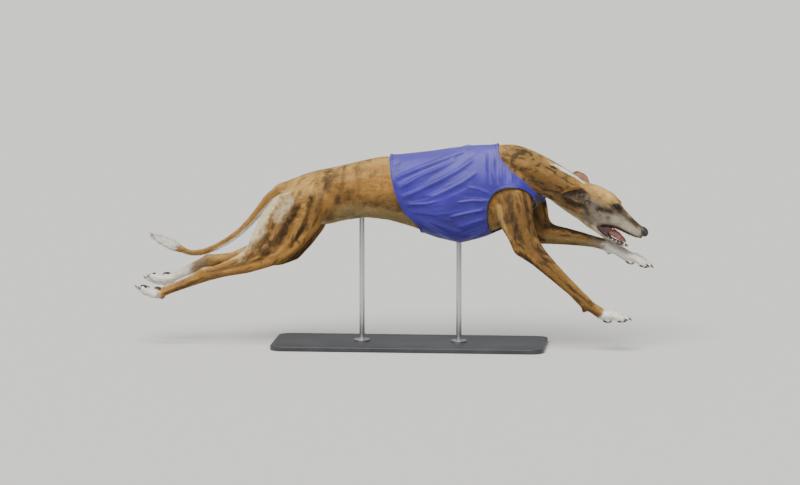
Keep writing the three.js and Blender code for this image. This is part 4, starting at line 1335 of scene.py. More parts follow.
def grow_coat(skin):
    """Short hair in closed tufts, each laid back along the body and marked as the skin is under it."""
    rng = np.random.default_rng(COAT_SEED)
    roots, normals, part = scatter(skin, rng)
    by = by_lines(roots)
    colours = coat_colours(roots, normals, by)
    way = hair_way(roots, normals, by)
    u, v = unwrap(by, roots)
    sizes = np.array([row[:3] for row in COAT_PARTS.values()])[part]
    tip = by["tail"]["hold"] * ramp(by["tail"]["at"], 9.6, 10.6)
    turn = rng.normal(0, 0.16, len(roots)) * (1 + tip)
    side = np.cross(normals, way)
    way = unit(way + turn[:, None] * side)
    side = np.cross(normals, way)
    loose = ramp(-normals[:, 2], 0.2, 0.9) * 0.5 + rng.random(len(roots)) ** 4
    length = sizes[:, 0] * rng.uniform(0.75, 1.2, len(roots))
    width = sizes[:, 1] * rng.uniform(0.8, 1.2, len(roots))
    stand = sizes[:, 2] * (0.55 + 0.8 * loose)
    fringe = by["tail"]["hold"] * ramp(-normals[:, 2], 0.2, 0.8) * ramp(by["tail"]["at"], 1, 3)
    length *= 1 + 0.4 * fringe + 0.9 * tip
    stand *= 1 + 0.7 * fringe
    tone = rng.normal(1.0, 0.13, len(roots))
    colours = np.clip(colours * tone[:, None], 0, 1)
    base = roots - normals * ROOT_DEPTH
    spread = side * (width / 2)[:, None]
    ridge = base + normals * 0.75 + way * (0.22 * length)[:, None]
    tips = roots + way * length[:, None] + normals * stand[:, None]
    corners = np.stack([base + spread, base - spread, ridge, tips], 1)
    shading = unit(normals + UNEVEN_SHADE * rng.normal(0, 1, normals.shape))
    shading[:, 2] += 0.9 * by["tail"]["hold"] * ramp(-normals[:, 2], 0.0, 0.8)
    shading = unit(shading)
    pieces = []
    for i, name in enumerate(COAT_PARTS):
        mine = np.nonzero(part == i)[0][:MOST_TUFTS]
        pieces.append(tuft_mesh(name, corners[mine], colours[mine], shading[mine], u[mine], v[mine]))
    return pieces


def tuft_mesh(name, corners, colours, shading, u, v):
    """Closed four-sided tufts, all in one mesh, each with its own small patch of the unrolled skin."""
    count = len(corners)
    mesh = bpy.data.meshes.new(name)
    mesh.vertices.add(count * 4)
    mesh.vertices.foreach_set("co", ((corners.reshape(-1, 3) + SHIFT) * MM).ravel())
    sides = np.array([(0, 1, 2), (0, 3, 1), (1, 3, 2), (2, 3, 0)])
    faces = (np.arange(count)[:, None, None] * 4 + sides).reshape(-1, 3)
    mesh.loops.add(faces.size)
    mesh.loops.foreach_set("vertex_index", faces.ravel())
    mesh.polygons.add(len(faces))
    mesh.polygons.foreach_set("loop_start", np.arange(len(faces)) * 3)
    mesh.update(calc_edges=True)
    mesh.shade_smooth()
    patch = mesh.uv_layers.new(name="OFBake")
    spots = np.array([(-1, -1), (1, -1), (0, 0), (0, 1)]) * 0.0015
    at = np.stack([u, v], 1)[:, None, :] + spots
    patch.data.foreach_set("uv", at.reshape(-1, 2)[faces.ravel()].ravel())
    obj = add_object(name, mesh)
    colour_mark(obj, np.repeat(colours, 4, axis=0))
    mesh.normals_split_custom_set_from_vertices(np.repeat(shading, 4, axis=0))
    return obj


def coat_finish(name, hair_bump):
    """Short hair: its marked colour with darker strands, and on the skin the strands' own relief."""
    coat = Finish(name, Roughness=0.62, Specular_IOR_Level=0.22, Sheen_Weight=0.06, Sheen_Roughness=0.45)
    place = coat.place()
    fine = coat.noise(place, 420, 3)
    patchy = coat.noise(place, 60, 3)
    colour = coat.mark("coat", "Color")
    darker = coat.blend(1.0, colour, (0.79, 0.76, 0.72, 1), "MULTIPLY")
    share = coat.between(fine * 0.6 + patchy * 0.4, 0.62, 0.38) * 0.75
    coat.feed("Base Color", coat.blend(share, colour, darker))
    coat.feed("Roughness", 0.56 + patchy * 0.16)
    if hair_bump:
        run = coat.mark("hair_run", "Vector")
        strands = coat.noise(coat.stretched(run, (0.14, 1.3, 1.3)), 1.0, 2)
        clumps = coat.noise(coat.stretched(run, (0.06, 0.35, 0.35)), 1.0, 2)
        coat.bump(strands * 0.6 + clumps * 0.6, 0.55, 0.0007)
    return coat


# Eyes, nose, tongue, teeth, claws and pads


def placed(name):
    """Names the new primitive and keeps its place in its mesh."""
    bpy.context.object.name = name
    bpy.ops.object.transform_apply(location=True, rotation=True, scale=True)
    return bpy.context.object


def ball_at(name, middle, radius, rings):
    bpy.ops.object.select_all(action="DESELECT")
    bpy.ops.mesh.primitive_uv_sphere_add(
        segments=2 * rings, ring_count=rings, radius=radius * MM, location=(np.array(middle) + SHIFT) * MM
    )
    bpy.ops.object.shade_smooth()
    return placed(name)


def make_eyes():
    """Each eye is a ball with a raised clear front; its rings of colour are marked on it by their angle."""
    eyes = []
    for name, side in SIDES.items():
        middle, out, *_ = eye_frame(side)
        eye = ball_at(f"{name}_eye_ball", middle, EYE["radius"], 32)
        points = drawn(eye)
        away = unit(points - middle)
        gaze = unit(out + 0.12 * HEAD_FRAME[:3, 0])
        turn = away @ gaze
        points += away * (0.9 * ramp(turn, 0.72, 0.9))[:, None]
        put(eye, points)
        mark(eye, "from_gaze", np.degrees(np.arccos(np.clip(turn, -1, 1))))
        eyes.append(finish(eye, "eye", f"{name}_eye"))
    return eyes


def make_nose():
    """The nose leather: a rounded block with two comma-shaped nostrils and a groove down its middle."""
    nose = copy_of(["nose"], "nose_leather", grow=0.8)
    modify(nose, "SUBSURF", levels=2, render_levels=2)
    modify(nose, "REMESH", mode="VOXEL", voxel_size=0.6 * MM, adaptivity=0.0)
    middle, half = np.array((227.0, 0, -5.4)), np.array((16.0, 14.4, 15.0))
    away = (evened(to_head(drawn(nose)), neighbour_mean(nose), 0.6, 12) - (233, 0, -6)) / (11.8, 14.3, 11.8)
    square = (np.abs(away) ** 2.7).sum(1, keepdims=True) ** (1 / 2.7)
    place = away / np.maximum(square, 0.3) * half
    low = ramp(-place[:, 2], 0, 13)
    place[:, 0] -= 5.5 * low * ramp(place[:, 0], 0, 12)
    place[:, 1] *= 1 - 0.34 * low
    place[:, 2] -= 1.2 * ramp(place[:, 0], 2, 12) * ramp(place[:, 2], 2, 12)
    put(nose, in_head(place + middle))
    points, normals = drawn(nose), normals_of(nose)
    x, y, z = place[:, 0], np.abs(place[:, 1]), place[:, 2]
    lift = np.zeros(len(points))
    nostril = ((y - 6.6) / 3.6) ** 2 + ((z - 0.6 - 0.3 * (y - 6.6)) / 2.9) ** 2
    lift -= 6.0 * np.exp(-(nostril**1.4)) * ramp(x, 4, 9)
    slit = ((z - 0.4 + 0.2 * (y - 6.6)) / 1.3) ** 2 + ((x - 6) / 8) ** 2
    lift -= 3.4 * np.exp(-slit) * ramp(y, 7.5, 11)
    lift += 0.8 * (np.exp(-(((np.sqrt(nostril) - 1.5) / 0.35) ** 2)) * ramp(x, 4, 9))
    lift -= 1.5 * np.exp(-((y / 0.9) ** 2)) * ramp(x, 5, 9) * (1 - ramp(z, 5, 9))
    put(nose, points + normals * lift[:, None])
    mark(nose, "nostril", np.exp(-nostril) * ramp(x, 4, 9))
    return finish(nose, "nose", "nose")


def make_tongue():
    """The tongue, swollen along its blade, with a groove down its middle and ripples at its sides."""
    tongue = copy_of(["tongue"], "tongue_blade", grow=0.4)
    modify(tongue, "REMESH", mode="VOXEL", voxel_size=1.0 * MM, adaptivity=0.0)
    place = to_head(evened(drawn(tongue), neighbour_mean(tongue), 0.7, 16))
    steps = np.linspace(110, 215, 36)
    level = []
    for step in steps:
        near = np.abs(place[:, 0] - step) < 4
        level.append(np.median(place[near, 2]) if near.any() else 0)
    above = place[:, 2] - np.interp(place[:, 0], steps, level)
    swell = ramp(place[:, 0], 112, 140) * (1 - 0.7 * ramp(place[:, 0], 175, 208))
    place[:, 2] += swell * (0.9 * np.maximum(above, 0) + 3.5)
    groove = 1.8 * np.exp(-((place[:, 1] / 2.2) ** 2)) * ramp(normals_of(tongue)[:, 2], 0.2, 0.7)
    ripple = 0.8 * np.sin(place[:, 0] / 6.5) * ramp(np.abs(place[:, 1]), 4, 10)
    place[:, 2] += ripple - groove
    put(tongue, in_head(place))
    bpy.ops.object.shade_smooth()
    return finish(tongue, "tongue", "tongue")


# Each tooth: its root in the head frame, mirrored, its radius, its length and how far it curves back.
TEETH = [
    (203, 11.6, -33, 2.46, -10.8, 3), (209, 8.9, -73, 2.21, 10.4, 3.5), (224, 1.7, -28, 1.23, -4, 0.6),
    (222.5, 4.8, -28.5, 1.23, -4.3, 0.8), (219.5, 7.8, -29.5, 1.31, -4.7, 0.9),
    (218.5, 1.4, -67, 1.07, 3.6, 0.4), (217.5, 4, -67, 1.07, 3.6, 0.5), (188, 13.2, -39, 1.64, -3, 0.8),
    (178, 14.1, -42, 2.13, -3.2, 0.8), (166, 15.2, -46, 2.46, -3.5, 0.8), (152, 16.3, -53, 2.95, -4.3, 1),
    (194, 10.7, -74, 1.64, 2.7, 0.6), (184, 11.9, -78, 1.97, 3, 0.6), (172, 13, -81, 2.3, 3.2, 0.6),
    (158, 14.1, -83, 2.79, 3.8, 0.8),
]


def make_teeth():
    """Each tooth is a curved cone with a blunt tip, closed at both ends."""
    rings, around = 7, 12
    points, faces, worn = [], [], []
    turn = np.linspace(0, 2 * math.pi, around, endpoint=False)
    for along, out, root, radius, length, curve in TEETH:
        for side in SIDES.values():
            start = len(points)
            for i in range(rings):
                share = i / (rings - 1)
                girth = radius * (1 - share**1.6) * (1 + 0.12 * math.sin(math.pi * share)) + 0.12
                for angle in turn:
                    worn.append(share)
                    u = along - curve * share**2 + girth * math.cos(angle) * 1.15
                    points.append((u, side * out + girth * math.sin(angle) * 0.85, root + length * share))
            faces += ring_faces(rings, around, start)
            for end in (start, start + (rings - 1) * around):
                faces.append(tuple(range(end, end + around)))
    teeth = face_out(mesh_object("teeth", in_head(points), faces))
    mark(teeth, "from_root", worn)
    bpy.ops.object.shade_smooth()
    return finish(teeth, "claw")


def make_claws():
    """Four claws to a paw, each rounded, ridged along its back and worn blunt at its tip."""
    made = []
    for name in PAWS:
        nodes = [f"{name}_claw_{i}" for i in (1, 2, 3, 4)]
        claws = copy_of(nodes, f"{name}_claws", grow=0.35)
        modify(claws, "SUBSURF", levels=2, render_levels=2)
        bpy.ops.object.shade_smooth()
        origin, ways = paw_frame(name)
        along = (drawn(claws) - origin) @ ways.T
        mark(claws, "from_root", ramp(along[:, 0], *np.percentile(along[:, 0], (2, 98))))
        made.append(finish(claws, "claw", *nodes))
    return made


# Pads under a paw: place along and across it, depth below it, and half sizes.
PADS = [
    (8, 0, -15, 14, 15, 6.5),
    (45, -19.5, -10.5, 9.5, 6.8, 5.5),
    (53, -6.8, -11.5, 10.5, 6.8, 5.5),
    (53, 6.8, -11.5, 10.5, 6.8, 5.5),
    (45, 19.5, -10.5, 9.5, 6.8, 5.5),
]
WRIST_PADS = {"right_fore": (566, -62, 125), "left_fore": (634, 54, 285.5)}
WRIST_PAD_HALF = (6.0, 5.5, 8.5)
PAD_RINGS = 14


def make_pads():
    """A heart-shaped pad and four toe pads under each paw, and one more behind each wrist."""
    made = []
    for name in PAWS:
        origin, ways = paw_frame(name)
        balls = []
        for along, across, deep, *half in PADS:
            pad = ball_at(f"{name}_pads", (0, 0, 0), 1, PAD_RINGS)
            points = drawn(pad) * half
            points[:, 1] *= 1 - 0.18 * points[:, 0] / half[0]
            put(pad, origin + (points + (along, across, deep)) @ ways)
            balls.append(pad)
        if name in WRIST_PADS:
            pad = ball_at(f"{name}_pads", (0, 0, 0), 1, PAD_RINGS)
            put(pad, drawn(pad) * WRIST_PAD_HALF + WRIST_PADS[name])
            balls.append(pad)
        made.append(finish(join(balls, f"{name}_pads"), "nose"))
    return made


# The jacket

JACKET_OUTLINE = [
    [(-17, 640), (-16, 566), (-9, 524), (0, 484), (13, 444), (33, 406), (70, 372), (82, 330), (88, 260)],
    [
        (303, 640), (304, 612), (309, 583), (327, 558), (348, 535), (372, 516), (392, 500), (407, 483),
        (424, 464), (446, 451), (446, 446), (430, 434), (416, 420), (404, 396), (396, 360), (390, 260),
    ],
]
ARMHOLES = {"right": (349, 402, 73, 88), "left": (374, 396, 66, 84)}
ARMHOLE_SQUARE = 2.4
JACKET_STAND = 4.0  # cloth off the coat
CLOTH_THICK = 1.5
HEM = 7.0
JACKET_REACH = (-40, 486)  # the cloth's grid along x
JACKET_STEP = 2.5
JACKET_TURNS = 300  # and round the trunk
LEVELS = np.arange(250, 641)  # heights at which the slope of the hems is found
CLOTH_SIDE = -84  # y at which the folds are read from the side view
BINDING_RADIUS = 1.5
BINDING_STEP = 3.0
# Folds: path in the side view, half width and height; a negative height is a groove.
FOLDS = [
    ([(397, 178), (420, 169), (445, 160), (470, 151)], 5.5, 3.2),
    ([(399, 182), (423, 172), (447, 163), (466, 156)], 5, -2.8),
    ([(400, 188), (420, 177), (440, 168), (458, 158)], 5.5, 3.4),
    ([(402, 193), (425, 182), (448, 170), (468, 158), (480, 150)], 6, -3.0),
    ([(404, 197), (420, 190), (437, 182), (456, 172), (474, 160)], 6, 2.6),
    ([(411, 200), (430, 191), (450, 181), (468, 170)], 6, -2.6),
    ([(428, 199), (446, 191), (462, 183), (478, 172)], 6, 2.0),
    ([(438, 199), (454, 192), (468, 186)], 5, -1.8),
    ([(391, 163), (400, 158), (410, 155)], 3, 1.6),
    ([(392, 167), (402, 162)], 3, -1.5),
    ([(393, 170), (403, 165)], 3, 1.6),
    ([(395, 174), (404, 169)], 3, -1.4),
    ([(404, 201), (420, 199), (432, 197)], 4, -2.4),
    ([(406, 205), (426, 204), (440, 201)], 4.5, 2.0),
    ([(409, 209), (428, 209), (446, 207)], 4.5, -2.0),
    ([(413, 213), (436, 215), (456, 213)], 6, 1.6),
    ([(489, 195), (478, 190), (466, 187)], 4, 2.4),
    ([(489, 199), (476, 196), (460, 196)], 4, -3.0),
    ([(488, 202), (472, 201), (454, 203)], 4, 2.6),
    ([(487, 206), (470, 207), (450, 210)], 4, -3.2),
    ([(486, 210), (468, 213), (446, 218)], 4.5, 3.0),
    ([(486, 214), (470, 219), (450, 224)], 4.5, -3.0),
    ([(486, 219), (472, 223), (454, 229)], 4.5, 2.6),
    ([(488, 224), (474, 229), (458, 235)], 4.5, -2.6),
    ([(492, 228), (480, 233), (464, 239)], 4.5, 2.2),
    ([(483, 158), (484, 172), (487, 188)], 3.6, 1.8),
    ([(487, 156), (488, 172), (491, 187)], 3.4, -1.8),
    ([(491, 158), (492, 172), (494, 186)], 3.4, 1.8),
    ([(495, 160), (496, 174), (498, 187)], 3.4, -1.8),
    ([(499, 163), (500, 176), (501, 187)], 3.4, 1.8),
    ([(504, 166), (505, 177), (506, 186)], 3.4, -1.6),
    ([(509, 170), (510, 179), (511, 186)], 3.4, 1.6),
    ([(514, 174), (515, 181), (516, 186)], 3.2, -1.3),
    ([(519, 178), (519, 183), (520, 187)], 3.2, 1.2),
    ([(421, 222), (436, 231), (450, 240)], 6, 2.2),
    ([(419, 216), (440, 223), (462, 229)], 8, -1.8),
    ([(430, 222), (448, 230), (464, 236)], 7, 1.6),
]


def outline_gap(x, z):
    """How far a point of the side view lies inside the jacket's two hems, in mm."""
    gaps = []
    for line, way in zip(JACKET_OUTLINE, (1, -1)):
        line = np.array(line, float)
        level = line[np.argsort(line[:, 1])]
        edge = np.interp(z, level[:, 1], level[:, 0])
        slope = np.gradient(np.interp(LEVELS, level[:, 1], level[:, 0]))
        lean = np.interp(z, LEVELS, np.convolve(slope, np.ones(9) / 9, "same"))
        gaps.append(way * (x - edge) / np.hypot(1, lean))
    return np.minimum(*gaps)


def armhole_gap(x, y, z):
    """How far a point lies outside the armhole on its side, in mm."""
    gap = np.full(np.shape(x), 1e3)
    for name, (cx, cz, rx, rz) in ARMHOLES.items():
        side_x, side_z, n = np.abs(x - cx) / rx, np.abs(z - cz) / rz, ARMHOLE_SQUARE
        level = np.maximum((side_x**n + side_z**n) ** (1 / n), 1e-3)
        slope = level ** (1 - n) * np.hypot(side_x ** (n - 1) / rx, side_z ** (n - 1) / rz)
        own = (y * SIDES[name]) > 18
        gap = np.where(own, np.minimum(gap, (level - 1) / np.maximum(slope, 1e-3)), gap)
    return gap


def jacket_edge(points):
    """How far a point lies inside the cut edges of the jacket, in mm."""
    x, y, z = np.moveaxis(points, -1, 0)
    return np.minimum(outline_gap(x, z), armhole_gap(x, y, z))


def ray_reach(tree, starts, ways, longest=260):
    """How far out from the axis the outermost surface lies along each way."""
    reach = np.zeros(len(starts))
    for i, (start, way) in enumerate(zip(starts, ways)):
        origin = Vector(start + way * longest)
        hit = tree.ray_cast(origin, Vector(-way), longest)
        if hit[0] is not None:
            reach[i] = longest - hit[3]
    return reach


def tree_of(obj):
    """The surface of a piece, in drawing millimetres, for measuring against."""
    faces = [tuple(p.vertices) for p in obj.data.polygons]
    return BVHTree.FromPolygons([tuple(p) for p in drawn(obj)], faces)


def jacket_shape(skin):
    """The jacket's grid, along x and round the trunk: places on the trunk's axis, ways out and reach."""
    xs = np.arange(*JACKET_REACH, JACKET_STEP)
    turns = np.linspace(0, 2 * math.pi, JACKET_TURNS, endpoint=False)
    body = np.array(BODY_LINE)[:, SIDE_VIEW]
    body = body[np.argsort(body[:, 0])]
    axis = np.interp(xs, body[:, 0], body[:, 1])
    axis = np.where(xs > 366, np.interp(xs, [366, 490], [515, 430]), axis)
    axis = np.convolve(np.pad(axis, 16, "edge"), np.ones(33) / 33, "valid")
    ways = np.stack([np.zeros_like(turns), np.sin(turns), np.cos(turns)], 1)
    starts = np.repeat(np.stack([xs, 0 * xs, axis], 1), len(turns), axis=0)
    ways = np.tile(ways, (len(xs), 1))
    trunk = copy_of(TRUNK, "trunk_form", grow=INFLATE)
    plain = ray_reach(tree_of(trunk), starts, ways)
    bpy.data.objects.remove(trunk)
    whole = ray_reach(tree_of(skin), starts, ways) + 2.0
    hit = starts + ways * whole[:, None]
    beyond = whole - plain
    limb = (hit[:, 0] > 262) & (hit[:, 2] < 428) & ~((hit[:, 0] > 425) & (hit[:, 2] > 400))
    limb &= (beyond > 26) | (hit[:, 2] < 372)
    limb |= np.abs(hit[:, 1]) > 118
    reach = np.where(limb, plain, np.maximum(plain, whole))
    reach = reach.reshape(len(xs), len(turns))
    starts, ways = (grid.reshape(*reach.shape, 3) for grid in (starts, ways))
    open_ = (armhole_gap(*np.moveaxis(starts + ways * reach[..., None], -1, 0)) < -4) | (reach < 5)
    fixed = reach.copy()
    for step in range(70):
        padded = np.pad(reach, ((1, 1), (0, 0)), "edge")
        mean = (padded[:-2] + padded[2:] + np.roll(reach, 1, 1) + np.roll(reach, -1, 1)) / 4
        reach = np.where(open_, mean, np.maximum(fixed - 0.4, mean) if step < 50 else 0.5 * (reach + mean))
    return starts, ways, reach


def fold_lift(points, side_of):
    """The folds' height at points of the jacket, from the folds drawn on the side view."""
    lift = np.zeros(len(points))
    for number, (steps, width, height) in enumerate(FOLDS):
        for name, side in SIDES.items():
            path = from_view(steps, CLOTH_SIDE)
            if name == "left":
                moved = (4 * math.sin(number * 2.1), 5 * math.cos(number * 1.7))
                path = path + (0.12 * (path[:, :1] - 200) * (1, 0)) + moved
            here = np.nonzero(side_of * side > 0.02)[0]
            places = points[here][:, SIDE_VIEW]
            gap = gap_to(path, places)
            fade = ramp(lengths(places - path[-1]), 0, 24)
            fade *= 0.45 + 0.55 * ramp(lengths(places - path[0]), 0, 20)
            strength = ramp(side_of[here] * side, 0.05, 0.42) * fade
            lift[here] += 1.8 * height * np.exp(-((gap / (0.9 * width)) ** 2)) * strength
    return lift


def make_jacket(skin):
    """A thin closed cloth cut to its hems and armholes, stretched over the body and creased by its pull."""
    starts, ways, reach = jacket_shape(skin)
    shape = reach.shape
    keep = jacket_edge(starts + ways * (reach + JACKET_STAND)[..., None]) > -0.45 * JACKET_STEP
    for _ in range(3):
        steps = itertools.product((-1, 0, 1), repeat=2)
        keep = sum(np.roll(np.roll(keep, a, 0), b, 1).astype(int) for a, b in steps) > 4
    keep[:1] = keep[-1:] = False
    index = -np.ones(shape, int)
    quad = keep[:-1] & keep[1:] & np.roll(keep, -1, 1)[:-1] & np.roll(keep, -1, 1)[1:]
    used = np.zeros(shape, bool)
    for a, b in ((0, 0), (1, 0), (0, 1), (1, 1)):
        used[a : shape[0] - 1 + a] |= np.roll(quad, b, 1)
    index[used] = np.arange(used.sum())
    i, j = np.nonzero(quad)
    j2 = (j + 1) % shape[1]
    faces = np.stack([index[i, j], index[i + 1, j], index[i + 1, j2], index[i, j2]], 1)
    place = snap_to_hem(np.argwhere(used).astype(float), starts, ways, reach)
    place = fair_hem(place, faces)
    points = on_grid(place, starts, ways, reach)
    cloth = face_out(mesh_object("racing_jacket", points, faces.tolist()))
    normals = normals_of(cloth)
    edge = jacket_edge(points)
    wave = 1.6 * (noise(points / (70, 30, 24), 31) - 0.5) + 0.7 * (noise(points / (26, 12, 10), 32) - 0.5)
    lift = fold_lift(points, normals[:, 1]) * (0.45 + 0.55 * ramp(edge, 0, 22)) + wave
    lift += 0.9 * (1 - ramp(edge, HEM - 1.2, HEM)) - 0.5 * np.exp(-(((edge - HEM) / 1.2) ** 2))
    lift = np.maximum(lift, -JACKET_STAND + 2.4)
    put(cloth, points + normals * lift[:, None])
    girth = place[:, 1] * (2 * math.pi / shape[1]) * 0.125
    lay_flat(cloth, np.stack([points[:, 0] * MM, girth], 1))
    mark(cloth, "from_hem", edge)
    # Near-black where the cloth looks straight down under the belly, and on its front between the forelegs.
    near_black = ramp(-normals[:, 2], 0.90, 0.93) * ramp(430 - points[:, 2], 0, 20)
    front = ramp(points[:, 0], 402, 408) * ramp(470 - points[:, 2], 0, 10) * (np.abs(points[:, 1]) < 44)
    mark(cloth, "near_black", np.maximum(near_black, front))
    loops = hem_loops(cloth)
    wall = {"thickness": CLOTH_THICK * MM, "offset": -1.0, "use_even_offset": False}
    modify(cloth, "SOLIDIFY", **wall, use_quality_normals=True)
    bpy.ops.object.shade_smooth()
    return cloth, make_binding(loops)


def lay_flat(cloth, places):
    """Gives the cloth its weave's own map, from a place for each of its points."""
    corners = np.array([v for face in cloth.data.polygons for v in face.vertices])
    cloth.data.uv_layers.new(name="Cloth").data.foreach_set("uv", places[corners].ravel())


def on_grid(place, starts, ways, reach):
    """The jacket's place at fractional grid positions."""
    low = np.floor(place).astype(int)
    part = place - low
    total = 0
    for a, b in itertools.product((0, 1), repeat=2):
        i = np.clip(low[:, 0] + a, 0, reach.shape[0] - 1)
        j = (low[:, 1] + b) % reach.shape[1]
        share = np.where(a, part[:, 0], 1 - part[:, 0]) * np.where(b, part[:, 1], 1 - part[:, 1])
        total = total + share[:, None] * (starts[i, j] + ways[i, j] * (reach[i, j] + JACKET_STAND)[:, None])
    return total


def snap_to_hem(place, starts, ways, reach):
    """Moves the outermost grid positions onto the cut line."""
    for _ in range(4):
        gap = jacket_edge(on_grid(place, starts, ways, reach))
        near = np.nonzero(gap < 0.62 * JACKET_STEP)[0]
        if not len(near):
            break
        slope = np.zeros((len(near), 2))
        for k in (0, 1):
            step = np.zeros(2)
            step[k] = 0.25
            moved = (place[near] + step, place[near] - step)
            ahead, behind = (jacket_edge(on_grid(at, starts, ways, reach)) for at in moved)
            slope[:, k] = (ahead - behind) / 0.5
        size = (slope**2).sum(1)
        move = -gap[near, None] * slope / np.maximum(size, 0.3)[:, None]
        place[near] += np.clip(move, -0.8, 0.8)
    return place


def open_edges(faces):
    """The pairs of corners on the cloth's open edges."""
    sides = np.concatenate([faces[:, [k, (k + 1) % 4]] for k in range(4)])
    pairs, count = np.unique(np.sort(sides, 1), axis=0, return_counts=True)
    return pairs[count == 1], pairs


def eased(place, pairs, weight, rounds):
    """Grid positions drawn towards those that the pairs join them to."""
    for _ in range(rounds):
        total = np.zeros_like(place)
        number = np.zeros(len(place))
        for a, b in ((0, 1), (1, 0)):
            step = place[pairs[:, b]] - place[pairs[:, a]]
            step[:, 1] = (step[:, 1] + JACKET_TURNS / 2) % JACKET_TURNS - JACKET_TURNS / 2
            np.add.at(total, pairs[:, a], step)
            np.add.at(number, pairs[:, a], 1)
        place = place + weight * total / np.maximum(number, 1)[:, None]
    return place


def fair_hem(place, faces):
    """Rounds off the cut line's small steps, and eases the rows behind it after it."""
    rim, pairs = open_edges(faces)
    behind = np.full((len(place), 1), 0.6)
    behind[rim.ravel()] = 0
    return eased(eased(place, rim, 0.5, 8), pairs, behind, 4)


def hem_loops(cloth):
    """The open edges of the cloth, as closed chains of places."""
    points = drawn(cloth)
    faces = np.array([tuple(face.vertices) for face in cloth.data.polygons])
    near = {}
    for a, b in open_edges(faces)[0]:
        near.setdefault(a, []).append(b)
        near.setdefault(b, []).append(a)
    loops, seen = [], set()
    for start in near:
        if start in seen or len(near[start]) != 2:
            continue
        chain, last, here = [start], None, start
        while True:
            seen.add(here)
            onward = [n for n in near[here] if n != last and (n not in seen or n == start)]
            if not onward or onward[0] == start:
                break
            last, here = here, onward[0]
            chain.append(here)
        if len(chain) > 30:
            loops.append(points[chain])
    return loops


def make_binding(loops):
    """A narrow rolled binding round each opening."""
    points, faces, dark, flat = [], [], [], []
    around = 8
    turn = np.linspace(0, 2 * math.pi, around, endpoint=False)
    for loop in loops:
        arm = np.median(armhole_gap(*loop.T)) < 12
        for _ in range(6):
            loop = 0.5 * loop + 0.25 * (np.roll(loop, 1, 0) + np.roll(loop, -1, 0))
        run = np.concatenate([[0], np.cumsum(lengths(np.roll(loop, -1, 0) - loop))])
        closed = np.concatenate([loop, loop[:1]])
        number = int(run[-1] / BINDING_STEP)
        at = np.linspace(0, run[-1], number, endpoint=False)
        path = np.stack([np.interp(at, run, closed[:, k]) for k in range(3)], 1)
        tangent = unit(np.roll(path, -1, 0) - np.roll(path, 1, 0))
        outward = unit(path - path.mean(0) * (0, 0, 1) - path * (1, 0, 0))
        across = unit(np.cross(tangent, outward))
        outward = np.cross(across, tangent)
        wide = 1.35 * np.cos(turn)[None, :, None] * across[:, None]
        rings = path[:, None] + BINDING_RADIUS * (wide + np.sin(turn)[None, :, None] * outward[:, None])
        faces += ring_faces(number, around, len(points), closed=True)
        points += list(rings.reshape(-1, 3))
        # Armhole bindings are near-black all round; the others are near-black on their lower part.
        dark += list(np.repeat(np.ones(number) if arm else ramp(-path[:, 2], -400, -360), around))
        flat += [(place * MM, angle * BINDING_RADIUS * MM) for place in at for angle in turn]
    binding = face_out(mesh_object("jacket_binding", points, faces))
    bpy.ops.object.shade_smooth()
    mark(binding, "near_black", dark)
    mark(binding, "from_hem", np.full(len(points), 99.0))
    lay_flat(binding, np.array(flat))
    return binding


def cloth_finish(name, dye, light_dye):
    """Plain-woven cloth with a satin sheen, a little uneven in its dye, with painted light on its upper part
    and painted shade on its lower part, stitched along its hems.
    """
    sheen = {"Sheen_Weight": 0.45, "Sheen_Roughness": 0.3, "Sheen_Tint": (0.82, 0.85, 1.0, 1)}
    cloth = Finish(name, Specular_IOR_Level=0.5, **sheen)
    uv = cloth.add("UVMap", {"uv_map": "Cloth"})
    thread = {"Vector": uv, "Scale": 320.0, "Distortion": 0.4}
    weave = [cloth.add("TexWave", {"bands_direction": way}, thread, out=1) for way in ("X", "Y")]
    slub = cloth.noise(cloth.stretched(uv, (1, 9, 1)), 90, 3)
    tone = cloth.noise(cloth.place(), 14, 3)
    base = cloth.blend(cloth.between(tone, 0.3, 0.7), solid(dye), solid(light_dye))
    base = cloth.blend(cloth.between(slub, 0.35, 0.75) * 0.3, base, solid(light_dye))
    # Painted light and shade by height: lavender light on the upper part of the jacket and dark blue shade on
    # its lower part.
    height = cloth.add("SeparateXYZ", {}, {"Vector": cloth.place()}, out=2)
    base = cloth.blend(cloth.between(height, 0.48, 0.62) * 0.22, base, solid("8C86D8"))
    base = cloth.blend(cloth.between(height, 0.47, 0.34) * 0.5, base, solid("1C0F66"))
    hem = cloth.mark("from_hem")
    stitch = cloth.between(hem, HEM + 1.4, HEM + 0.2) * cloth.between(hem, HEM - 2.2, HEM - 1.0)
    base = cloth.blend(stitch * 0.5, base, solid("1B1D66"))
    # Near-black where marked: the armhole bindings, the lower part of the others, and the cloth under the
    # belly and at the front.
    base = cloth.blend(cloth.mark("near_black"), base, solid("15152B"))
    cloth.feed("Base Color", base)
    cloth.feed("Roughness", 0.40 + slub * 0.14)
    cloth.bump((weave[0] + weave[1]) * 0.5 + slub * 0.35, 0.35, 0.0004)
    return cloth


# Finishes of the small pieces


def eye_finish():
    """A dark brown eye, clear and wet: black pupil, streaked iris with a darker ring, and dark white."""
    eye = Finish("wet_eye", Roughness=0.08, Specular_IOR_Level=0.32)
    angle = eye.mark("from_gaze")
    streak = eye.noise(eye.place(), 1400, 2)
    iris = eye.blend(eye.between(streak, 0.35, 0.7), solid("1C100A"), solid("3C2413"))
    colour = eye.blend(eye.between(angle, 19, 16), iris, solid("050403"))
    colour = eye.blend(eye.between(angle, 36, 46), colour, solid("0D0705"))
    colour = eye.blend(eye.between(angle, 52, 56), colour, solid("3A2A26"))
    eye.feed("Base Color", colour)
    return eye


